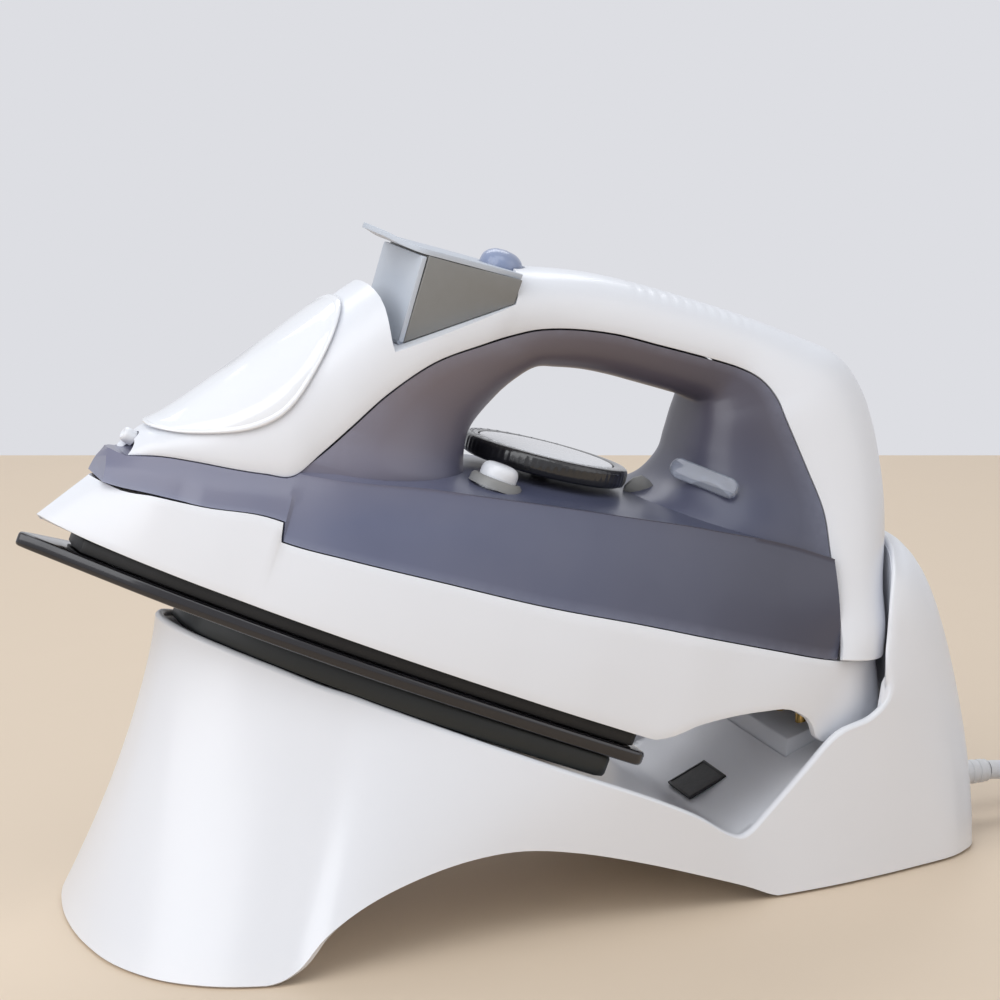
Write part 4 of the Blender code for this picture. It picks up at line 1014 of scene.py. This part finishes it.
def hood_point(part, lean):
    """Point on the hood: part runs along it, lean goes round it from the middle."""
    spot = part * HOOD_ROWS
    low = max(0, min(int(spot), HOOD_ROWS + 2))
    rows = ribbon_rows[FIRST_HOOD_ROW + low:FIRST_HOOD_ROW + low + 2]
    ix, iz, ox, oz, wide = (a + (b - a) * (spot - low) for a, b in zip(*rows))
    out = abs(math.cos(lean)) ** ARCH_POWER
    return Vector((ix + (ox - ix) * out, squared(math.sin(lean), ARCH_POWER) * wide, iz + (oz - iz) * out))


PANEL_RINGS = [(0.02, 0.0), (0.3, 0.0), (0.6, 0.0), (0.8, 0.0), (0.925, 0.0), (0.935, -0.12), (0.945, -0.12),
               (0.955, 0.03), (0.98, 0.03), (0.995, -0.15), (1.0, -0.5)]
panel_rows = []
for ring, rise in PANEL_RINGS:
    row = []
    for along, aside in round_outline(ring, 72):
        lean = PANEL_SPREAD * aside * (1 - PANEL_TAPER * along)
        out = PANEL_UP * Vector((math.cos(lean), math.sin(lean), math.cos(lean)))
        row.append(hood_point(PANEL_MIDDLE + PANEL_HALF * along, lean) + out * (PANEL_LIFT + rise))
    panel_rows.append(row)
panel_grid = loft(panel_rows, close_rows=True)
bmesh.ops.holes_fill(panel_grid, edges=[e for e in panel_grid.edges if e.is_boundary and
                                        e.calc_length() < 0.2], sides=100)
panel = plain_object("hood_panel", facing(tidy_grid(panel_grid), (90, 0, 60)), IRON)
wall(panel, 1.0)
settle(panel)
dress(panel, "iron", PANEL_GLOSS, ["front_panel"], sharp=math.radians(50))
print("panel", len(panel.data.polygons), "faces")

# %% [markdown]
# ## Neck: block, visor, filler lid and spray button
#
# In the hood's top sits a grey block. Its front face is the lid over the water filler, hinged along its
# lower edge, and a thin visor with a pointed lip shades it. Block and lid are one grey plastic painted in two
# tones: the block's sides darker as painted shade, the lid paler as painted light, a tone the visor shares.
# The round button behind the visor pumps the spray.

# %% Neck
BLOCK_SIDE = [(88.3, 98.55), (118.15, 121.5), (118.0, 129.3), (86.3, 126.2)]
block = outline_slab("neck_housing", BLOCK_SIDE, -19.5, 19.5, IRON, side=True, rounding=0.3, segments=3)
BLOCK_HOLLOW = [(91.6, 97), (121, 119), (116, 124.8), (89.2, 124.8), (91.3, 104)]
combine(block, outline_slab("hollow", BLOCK_HOLLOW, -17, 17, IRON, side=True))
combine(block, outline_slab("mouth", rectangle(84, 95, 13), 103, 122, IRON))
drill(block, SPRAY_R + 0.5, 112, 150, SPRAY_AXIS)
dress(block, "iron", SHADED_GREY, ["neck_block"])

VISOR = [(69.6, 0.8, 128.8), (70.4, 3, 128.85), (74.5, 9, 128.6), (79, 14.5, 128.0), (84, 18.8, 127.9),
         (90, 19.6, 128.45), (100, 19.7, 129.4), (110, 19, 130.3), (118.2, 17.5, 131.0)]
VISOR_THICK = 1.7
visor = solid("visor", [flat_row(x, w, z - VISOR_THICK, z) for x, w, z in smooth_line(VISOR, 4)], IRON)
round_edges(visor, 0.5, 3, 50)
settle(visor)
drill(visor, SPRAY_R + 0.5, 120, 150, SPRAY_AXIS)
dress(visor, "iron", LIT_GREY, ["neck_cap"])

LID_HINGE = (87.5, 0.0, 98.5)
LID = IRON @ at(*LID_HINGE, math.radians(-5))
lid_outline = [(-19.4, 0.0), (19.4, 0.0), (19.4, 26.7), (18.9, 27.2), (-18.9, 27.2), (-19.4, 26.7)]
lid_rows = [[(x, y, z) for y, z in lid_outline] for x in (-0.9, 0.75)]
lid = solid("filler_door", lid_rows, LID)
round_edges(lid, 0.25, 2)
settle(lid)
barrel_turn = Matrix.Rotation(math.pi / 2, 4, 'X')
combine(lid, lathe("barrel", [(1.0, -18.5), (1.0, 18.5)], LID @ barrel_turn, 24), 'UNION')
dress(lid, "filler_lid", LIT_GREY, ["filler_lid"])

dome = smooth_line([(SPRAY_R, 6.9), (6.7, 8.5), (5.6, 10.1), (3.4, 11.4), (0.0, 11.9)], 4)
button_profile = [(0, 0), (SPRAY_R - 0.4, 0), (SPRAY_R, 0.4), (SPRAY_R, 6.6)] + dome
spray = lathe("spray_knob", button_profile, IRON @ at(SPRAY_X, 0, 124.5), 48)
dress(spray, "spray_button", BUTTON_BLUE, ["spray_button"])
print("neck pieces:", block.name, visor.name, lid.name, spray.name)

# %% Spray nozzle and filler funnel
nozzle_profile = [(0.9, 0.4), (0.9, -1.9), (2.1, -2.0), (2.4, -1.8), (2.4, 0.2), (2.3, 1.2), (2.0, 1.8),
                  (1.6, 2.0), (1.2, 1.9), (0.7, 1.4), (0.7, 0.4), (0.9, 0.4)]
nozzle = lathe("spray_tip", nozzle_profile, NOZZLE, 36)
dress(nozzle, "iron", WHITE_GLOSS, ["spray_nozzle"])
funnel_profile = [(6.2, 58.0), (6.2, 84), (6.6, 86.6), (8.0, 91.6), (8.6, 92.0), (9.2, 91.6), (9.0, 90.6),
                  (7.8, 86), (7.4, 84), (7.4, 58.0), (6.2, 58.0)]
funnel = lathe("filler_funnel", funnel_profile, FILLER_AXIS, 40)
dress(funnel, "iron", NATURAL, ["filler_neck"])

# %% [markdown]
# ## Dial, steam button and pilot window
#
# The heat dial is a thick black ring with fine grip teeth round its edge and a pale glossy disc let into its
# top. White ticks, every fourth one longer, count the heat steps. The ridge moulded on the tank behind it is
# what the marks are read against.

# %% Dial
DIAL_R = 27.5
TEETH = 72


def toothed_ring(radius, height, depth):
    """Ring of points whose radius dips between grip teeth."""
    points = []
    for k, (x, y) in enumerate(round_outline(1, TEETH * 4)):
        reach = radius - depth * (0.5 - 0.5 * math.cos(math.tau * k / 4))
        points.append((reach * x, reach * y, height))
    return points


DIAL_PROFILE = [(24.9, -3.2, 0), (25.5, -3.1, 0), (26.9, -2.4, 0), (DIAL_R - 0.1, -1.4, 0.1),
                (DIAL_R, -0.6, 0.16), (DIAL_R, 1.4, 0.16), (DIAL_R - 0.1, 2.1, 0.1), (27.0, 2.8, 0),
                (26.3, 3.2, 0), (25.6, 3.3, 0), (23.2, 3.3, 0), (22.7, 3.1, 0), (22.6, 2.8, 0),
                (22.6, 1.9, 0)]
dial = solid("heat_dial", [toothed_ring(*row) for row in DIAL_PROFILE], DIAL)
dress(dial, "dial", BLACK_GLOSS, ["dial"])
disc_profile = [(0, 2.2), (22.0, 2.2), (22.2, 2.4), (22.2, 2.9), (21.9, 3.2)]
disc_profile += smooth_line([(21.4, 3.3), (18, 3.62), (12, 3.9), (5, 4.02), (0, 4.05)], 3)
dial_disc = lathe("dial_disc", disc_profile, DIAL, 96)
dress(dial_disc, "dial", PANEL_GLOSS, ["dial_cap"])
TICKS = 25
TICK_SPAN = math.radians(240)
tick_grid = bmesh.new()
for k in range(TICKS):
    long = k % 4 == 0
    turn = math.pi - TICK_SPAN / 2 + TICK_SPAN * k / (TICKS - 1)
    half_wide = 0.28 if long else 0.18
    inner, outer = (23.5 if long else 24.3), 25.4
    made = bmesh.ops.create_cube(tick_grid, size=1.0)['verts']
    shape = Matrix.Diagonal((outer - inner, 2 * half_wide, 0.16, 1))
    spot = Matrix.Rotation(turn, 4, 'Z') @ Matrix.Translation(((inner + outer) / 2, 0, 3.34))
    bmesh.ops.transform(tick_grid, matrix=spot @ shape, verts=made)
ticks = plain_object("dial_ticks", tick_grid, DIAL)
dress(ticks, "dial", WHITE_SATIN)
print("dial", len(dial.data.polygons), "faces,", TICKS, "ticks")

# %% Pointer ridge, steam button and pilot window
POINTER = [(182.4, 0.7, 0.6), (184.0, 1.4, 3.6), (186.5, 1.8, 5.2), (189.5, 1.7, 4.6), (192.5, 1.2, 3.0)]
POINTER_FOOT = 2.4
pointer_rows = [[(x, -6 + wide * c, 78.6 + (tall if s > 0 else POINTER_FOOT) * s)
                 for c, s in round_outline(1, 16)] for x, wide, tall in POINTER]
pointer = solid("dial_pointer", pointer_rows, IRON)
dress(pointer, "iron", SHADED_GREY)

crown = [(0, -3), (5.9, -3), (6.0, -2.8), (6.0, 3.2)]
crown += smooth_line([(6.0, 3.6), (5.8, 4.8), (5.1, 6.0), (3.8, 6.6), (2.0, 6.75), (0, 6.8)], 4)
steam = lathe("steam_knob", crown, IRON @ at(STEAM_X, STEAM_Y, 67), 48)
dress(steam, "steam_button", WHITE_GLOSS, ["steam_button"])
collar_profile = [(6.45, -1.6), (6.45, 1.2), (6.7, 1.5), (7.6, 1.4), (8.3, 0.6), (8.5, -1.6), (6.45, -1.6)]
collar = lathe("steam_collar", collar_profile, IRON @ at(STEAM_X, STEAM_Y, 67.6), 48)
dress(collar, "iron", SHADED_GREY)

LENS_PLACE = IRON @ at(200.0, -22.4, 90.5, math.radians(-50), 'Z')
LENS_HALF, LENS_R = 9.1, 3.4
lens_outline = [(x + math.copysign(LENS_HALF, x), y) for x, y in round_outline(LENS_R, 32)]
window = outline_slab("pilot_window", lens_outline, -1.2, 1.2, LENS_PLACE, side=True, rounding=0.6,
                      segments=3)
dress(window, "iron", CLEAR, ["pilot_lens"])
print("small pieces:", pointer.name, steam.name, window.name)

# %% [markdown]
# ## Stand
#
# The stand is one white saddle. Its front leg flares out to the table and carries the iron's nose, its sides
# arch up off the table in the middle, and a tower closes its back round the iron's heel. It is lofted from
# stations round its near half, each a line up the wall, over a rounded rim and down on to the deck.

# %% Stand's wall and deck
# Where each line up the wall starts at the foot and ends at the rim: x, y and z of both.
STATIONS = [(-149, 0, 0, -118.1, 0, 98), (-147.6, -19, 0, -116.5, -9, 97.4), (-143, -38, 0, -111, -17, 95.1),
            (-133, -54.5, 0, -101, -25, 91.1), (-119, -65, 0, -89, -31.5, 86.2),
            (-104, -70, 0, -77, -36.8, 81), (-94.5, -70.6, 3.5, -68, -40, 77.7),
            (-85, -70, 13, -59, -43.4, 74), (-71, -67.8, 20.5, -48, -47.3, 69.6),
            (-54, -64.8, 25.5, -34, -51.3, 64), (-36, -62, 28.3, -19, -54.4, 58),
            (-18, -59.8, 28.3, -3, -56.6, 51.5), (2, -58.3, 24.5, 12, -57.8, 45.5),
            (24, -57, 18, 27, -57.6, 39), (44, -55.6, 11, 42, -56.6, 31.5), (60, -54.2, 5, 54, -55, 23.8),
            (72, -53.2, 0, 61, -53.6, 22.8), (82, -52.3, 0, 70, -52.2, 30), (94, -50.8, 0, 82, -51, 41),
            (106, -48.7, 0, 94, -49.7, 51.5), (118, -46.2, 0, 107, -48.3, 55.5),
            (131, -43, 0, 114.3, -46.8, 63), (142, -40, 0, 115.3, -44.5, 77),
            (149.5, -36, 0, 117.5, -41.5, 92), (156.5, -29.5, 0, 121, -35.8, 102),
            (160.5, -17.5, 0, 125.8, -23.3, 106.6), (162.2, 0, 0, 130.8, 0, 107.3)]
DECK = [(-118, 96.6), (-60, 72), (0, 47.5), (40, 29), (58, 20.5), (74, 28), (90, 38.5), (108, 44.5),
        (128, 47.8)]
FOOT_CLEAR = 1.0               # the wall's lower edge above the table, where the rubber feet lift it
RIM_RISE = 1.1                 # height of the rim's rounded bead
DECK_END = 126.5               # the deck stops here, in front of the tower's back
COVE = 1.5                     # the deck curves up by this much where it meets the wall
deck_height = table(DECK)


def clamped(value, low=0.0, high=1.0):
    return min(high, max(low, value))


def wall_line(low, rim, share, parts):
    """Points up the wall: flared over the front leg, upright in the middle, domed at the back."""
    front = max(0.0, 1 - share / 0.42)
    back = clamped((share - 0.62) / 0.2)
    points = []
    for part in parts:
        flare = 1 - (1 - part) ** 1.35
        bulge = 0.7 * part ** 1.7 + 0.3 * (1 - math.sqrt(max(0.0, 1 - part ** 12)))
        point = low.lerp(rim, front * flare + back * bulge + (1 - front - back) * part)
        point.z = FOOT_CLEAR + low.z + (rim.z - FOOT_CLEAR - low.z) * part
        points.append(point)
    return points


def stand_row(knot, inward, share):
    """From the floor up the wall, over the rim's bead and down on to the deck's middle line."""
    low, rim = Vector(knot[:3]), Vector(knot[3:])
    low.y, rim.y, low.z = min(low.y, 0.0), min(rim.y, 0.0), max(low.z, 0.0)
    top = rim + inward * (3.2 - 1.4 * clamped((share - 0.76) / 0.1) - 0.6 * clamped(1 - share * 10))
    top.y = min(top.y, 0.0)
    deck_x = min(top.x, DECK_END)
    deck_z = deck_height(deck_x)
    inner_y = top.y * 0.985
    foot_z = min(rim.z - 1.0, deck_z + COVE)
    foot = Vector((deck_x, inner_y, foot_z))
    points = wall_line(low, rim, share, [math.sin(math.pi / 2 * k / 15) for k in range(16)])
    bead = [rim.lerp(top, u) + Vector((0, 0, RIM_RISE * math.sin(math.pi * u))) for u in (0.25, 0.5, 0.75)]
    drop = [top.lerp(foot, u) for u in (0.0, 0.4, 0.75)]
    floor_line = [Vector((deck_x, inner_y * u, deck_z)) for u in (0.9, 0.75, 0.5, 0.25, 0.0)]
    for k, point in enumerate(floor_line):
        point.z = min(foot_z, deck_z + COVE * (1 - k / 3) ** 2 * (k < 3))
    return points + bead + drop + [foot] + floor_line


flip = [(a, -b, c, d, -e, f) for a, b, c, d, e, f in (STATIONS[1], STATIONS[-2])]
FINER = 5
stand_knots = smooth_line(STATIONS, FINER, before=flip[0], after=flip[1])
rims = [Vector(knot[3:5]) for knot in stand_knots]
rims = [Vector((rims[1].x, -rims[1].y))] + rims + [Vector((rims[-2].x, -rims[-2].y))]
stand_rows = []
for k, knot in enumerate(stand_knots):
    along = (rims[k + 2] - rims[k]).normalized()
    stand_rows.append(stand_row(knot, Vector((-along.y, along.x, 0)), k / (len(stand_knots) - 1)))
stand = plain_object("stand_shell", facing(mirrored(loft(stand_rows)), (0, 0, 5)), STAND_FRAME)
wall(stand)
settle(stand)
combine(stand, outline_slab("holder_window", rectangle(87.6, 108.4, 24.4), 24, 60, STAND_FRAME))
EXIT_Z = 15.5
drill(stand, 5.0, -18, 12, at(160, 0, EXIT_Z, math.pi / 2), 32)
dress(stand, "stand", WHITE_GLOSS, ["base_shell"], sharp=math.radians(60))
print("stand", len(stand.data.polygons), "faces")

# %% [markdown]
# ## Rest pad, deck plate, terminals and feet
#
# The iron's hot sole lies on a thick dark silicone pad with a raised rim. A blank data plate lies on the deck
# behind it, and three sprung pins in a white holder feed the iron when it is down.

# %% Rest pad and deck plate
PAD_HALF = [(59, 13), (66, 20), (83, 30), (104, 38.5), (130, 46.5), (160, 51), (186, 52.5)]
pad_width = table([(56, 4)] + PAD_HALF + [(190, 51.5)])
PAD_TIP, PAD_END, PAD_CORNER = 56, 186, 5


def pad_outline(inset, count=40):
    half = [(PAD_TIP + inset, 0.0)]
    for k in range(count + 1):
        x = PAD_TIP + inset + (PAD_END - inset - PAD_TIP) * (k / count) ** 1.3
        half.append((x, max(0.5, pad_width(x) - inset)))
    wide = half[-1][1]
    return mirrored_outline(half + corner_arc(PAD_END - inset + PAD_CORNER, wide, PAD_CORNER))


PAD_PROFILE = [(1.2, -7.6), (0.3, -7.2), (0.0, -6.4), (0.0, -1.6), (0.35, -0.8), (1.1, -0.4), (5.6, -0.4),
               (6.6, -0.7), (7.0, -1.4), (7.0, -5.0)]
pad_rows = [[(x, y, z) for x, y in pad_outline(inset)] for inset, z in PAD_PROFILE]
pad = solid("rest_pad_rubber", pad_rows, IRON)
dress(pad, "stand", PAD_RUBBER, ["rest_pad"])
PLATE_X, PLATE_LIFT, DECK_SLOPE = 66.5, 1.1, math.atan2(7.5, 16)
plate_place = at(PLATE_X, 0, deck_height(PLATE_X) + PLATE_LIFT, -DECK_SLOPE)
plate = outline_slab("data_plate", rectangle(-7.5, 7.5, 9), -0.5, 0.5, plate_place, rounding=0.25)
combine(plate, outline_slab("panel", rectangle(-6.6, 6.6, 8.1), 0.28, 1.0, plate_place))
dress(plate, "stand", BLACK_MATT, ["deck_plate"])
print("pad", len(pad.data.polygons), "faces")

# %% Terminal holder, pins and feet
CONTACT_X = 98
CONTACT_YS = (-15, 0, 15)
holder = outline_slab("pin_holder", [(88, 26), (108, 26), (108, 50), (88, 43.5)], -24, 24, STAND_FRAME,
                      side=True, rounding=0.6)
for y in CONTACT_YS:
    drill(holder, 2.35, 29, 60, at(CONTACT_X, y, 0), 24)
dress(holder, "stand", WHITE_SATIN, ["terminal_holder"])
PIN_PROFILE = [(0, 40), (2.1, 40), (2.3, 40.3), (2.3, 50.2), (2.1, 51.2), (1.5, 51.9), (0.7, 52.15),
               (0, 52.2)]
for k, y in enumerate(CONTACT_YS):
    pin = lathe(f"charging_pin_{k + 1}", PIN_PROFILE, at(CONTACT_X, y, 0), 32)
    dress(pin, f"contact_pin_{k + 1}", BRASS, [f"contact_pin_{k + 1}"])
FOOT_PROFILE = [(0, 2.0), (6.0, 2.0), (6.0, 0.6), (5.5, 0.05), (4.4, 0.0), (4.0, 0.35), (0, 0.35)]
for k, (x, y) in enumerate(((-128, -30), (-128, 30), (122, -26), (122, 26))):
    foot = lathe(f"foot_{k + 1}", FOOT_PROFILE[::-1], at(x, y, 0), 40)
    dress(foot, "stand", FOOT_RUBBER, [f"rubber_foot_{k + 1}"])
print("pins and feet done")

# %% [markdown]
# ## Strain relief, cord, tie and plug
#
# The cord itself is a curve with a round bevel, one open line from the strain relief to the plug.

# %% Cord pieces
BUSH_PROFILE = [(3.6, -8.2), (6.2, -8.2), (6.6, -7.8), (6.6, -5.9), (6.2, -5.6), (4.6, -5.4), (4.6, 0.0)]
for k in range(6):
    start, radius = 0.6 + 3.0 * k, 4.6 - 0.09 * k
    BUSH_PROFILE += [(radius, start), (radius, start + 1.6), (radius - 0.45, start + 1.9),
                     (radius - 0.45, start + 2.6)]
BUSH_PROFILE += [(4.0, 18.6), (3.8, 19.0), (3.6, 19.0), (3.6, -8.2)]
bush = lathe("strain_relief", BUSH_PROFILE, at(159.0, 0, EXIT_Z, math.pi / 2), 40)
dress(bush, "stand", CORD_WHITE, ["cord_bush"])

cord_curve = bpy.data.curves.new("mains_cord", 'CURVE')
cord_curve.dimensions = '3D'
cord_curve.bevel_depth = CORD_R * MM
cord_curve.bevel_resolution = 4
cord_curve.use_fill_caps = True
spline = cord_curve.splines.new('POLY')
spline.points.add(len(cord_points) - 1)
for point, spot in zip(spline.points, cord_points):
    point.co = (*(Vector(spot) * MM), 1)
spline.use_smooth = True
cord = bpy.data.objects.new("mains_cord", cord_curve)
bpy.context.scene.collection.objects.link(cord)
cord_curve.materials.append(CORD_WHITE)
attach(cord, "stand")
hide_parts("power_cord", "cord_coil", "cord_tail")

PLUG_GAP = 0.4
plug_end = COIL + Vector(TAIL_ROUTE[-1]) - Vector((0, PLUG_GAP, 0))
PLUG = Matrix.Translation(plug_end) @ Matrix.Rotation(math.pi, 4, 'Z')
PLUG_ROWS = smooth_line([(0, 4.6, 4.6, 1.0), (4, 4.7, 4.7, 1.0), (9, 5.6, 5.4, 0.95), (15, 8.5, 6.5, 0.85),
                         (20, 11.2, 7.2, 0.75), (26, 12.7, 7.5, 0.7), (33, 13.0, 7.5, 0.7)], 4)
PLUG_ROWS += [(35.2, 12.8, 7.3, 0.7), (35.9, 12.2, 6.8, 0.7)]


def plug_row(y, wide, tall, power):
    grooved = 0.35 * (10 < y < 26) * (0.5 - 0.5 * math.cos(math.tau * (y - 10) / 3.2))
    return [((wide - grooved) * squared(c, power), y, tall * squared(s, power))
            for c, s in round_outline(1, 36)]


plug = solid("mains_plug", [plug_row(*row) for row in PLUG_ROWS], PLUG)
dress(plug, "stand", CORD_WHITE, ["plug"])
PIN_TURN = Matrix.Rotation(-math.pi / 2, 4, 'X')
SLEEVE_PROFILE = [(0, 0), (2.25, 0), (2.4, 0.3), (2.4, 9.6), (2.3, 10), (0, 10)]
BARE_PROFILE = [(0, 0), (2.1, 0), (2.3, 0.2), (2.3, 8.0), (2.0, 9.2), (1.2, 9.9), (0, 10.1)]
for side in (-1, 1):
    for label, profile, y, finish, slot_name in (
            ("sleeve", SLEEVE_PROFILE, 35.4, BLACK_GLOSS, "black_plastic"),
            ("pin", BARE_PROFILE, 45.4, BRASS, "contact_brass")):
        piece = lathe(f"plug_{label}_{'left' if side < 0 else 'right'}", profile,
                      PLUG @ Matrix.Translation((side * 9.5, y, 0)) @ PIN_TURN, 28)
        dress(piece, "stand", finish)

TIE_PATH = []
for cx, cz, start in ((12.6, 20.6, 0), (-12.6, 20.6, 90), (-12.6, 1.6, 180), (12.6, 1.6, 270)):
    for k in range(7):
        turn = math.radians(start + 15 * k)
        TIE_PATH.append((COIL.x - 37.5 + cx + 1.4 * math.cos(turn), COIL.y, cz + 1.4 * math.sin(turn)))
TIE_OUTLINE = [(-0.25, -3.0), (0.25, -3.0), (0.4, -2.8), (0.4, 2.8), (0.25, 3.0), (-0.25, 3.0), (-0.4, 2.8),
               (-0.4, -2.8)]
tie = sweep("cord_tie_band", TIE_PATH, TIE_OUTLINE, STAND_FRAME, closed=True, up=(0, 1, 0))
dress(tie, "stand", FOOT_RUBBER, ["cord_tie"])
print("cord points", len(cord_points))

# %% [markdown]
# ## Inside pieces
#
# The pump, valve, wiring, springs and covers inside keep the shapes of the mechanical model. Each gets the
# finish of its real material.

# %% Finishes of the pieces inside
INSIDE = {
    "base_bottom_cover": WHITE_SATIN, "power_board": BOARD_GREEN, "cord_clamp": BLACK_MATT,
    "iron_terminal_block": BLACK_MATT, "iron_wiring": WIRE_SLEEVE, "pilot_lamp": LAMP,
    "pump_spring": STEEL, "valve_spring": STEEL, "spray_piston": NATURAL, "spray_pump_body": NATURAL,
    "spray_tube": NATURAL, "steam_chamber_cover": STEEL, "steam_valve_rod": STEEL, "thermal_fuse": STEEL,
    "thermostat": CERAMIC, "thermostat_spindle": NATURAL,
}
for k in (1, 2, 3):
    INSIDE[f"contact_spring_{k}"] = STEEL
    INSIDE[f"iron_contact_{k}"] = BRASS
for node, finish in INSIDE.items():
    for slot_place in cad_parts[node].material_slots:
        slot_place.material = finish
print("kept pieces:", len(INSIDE))
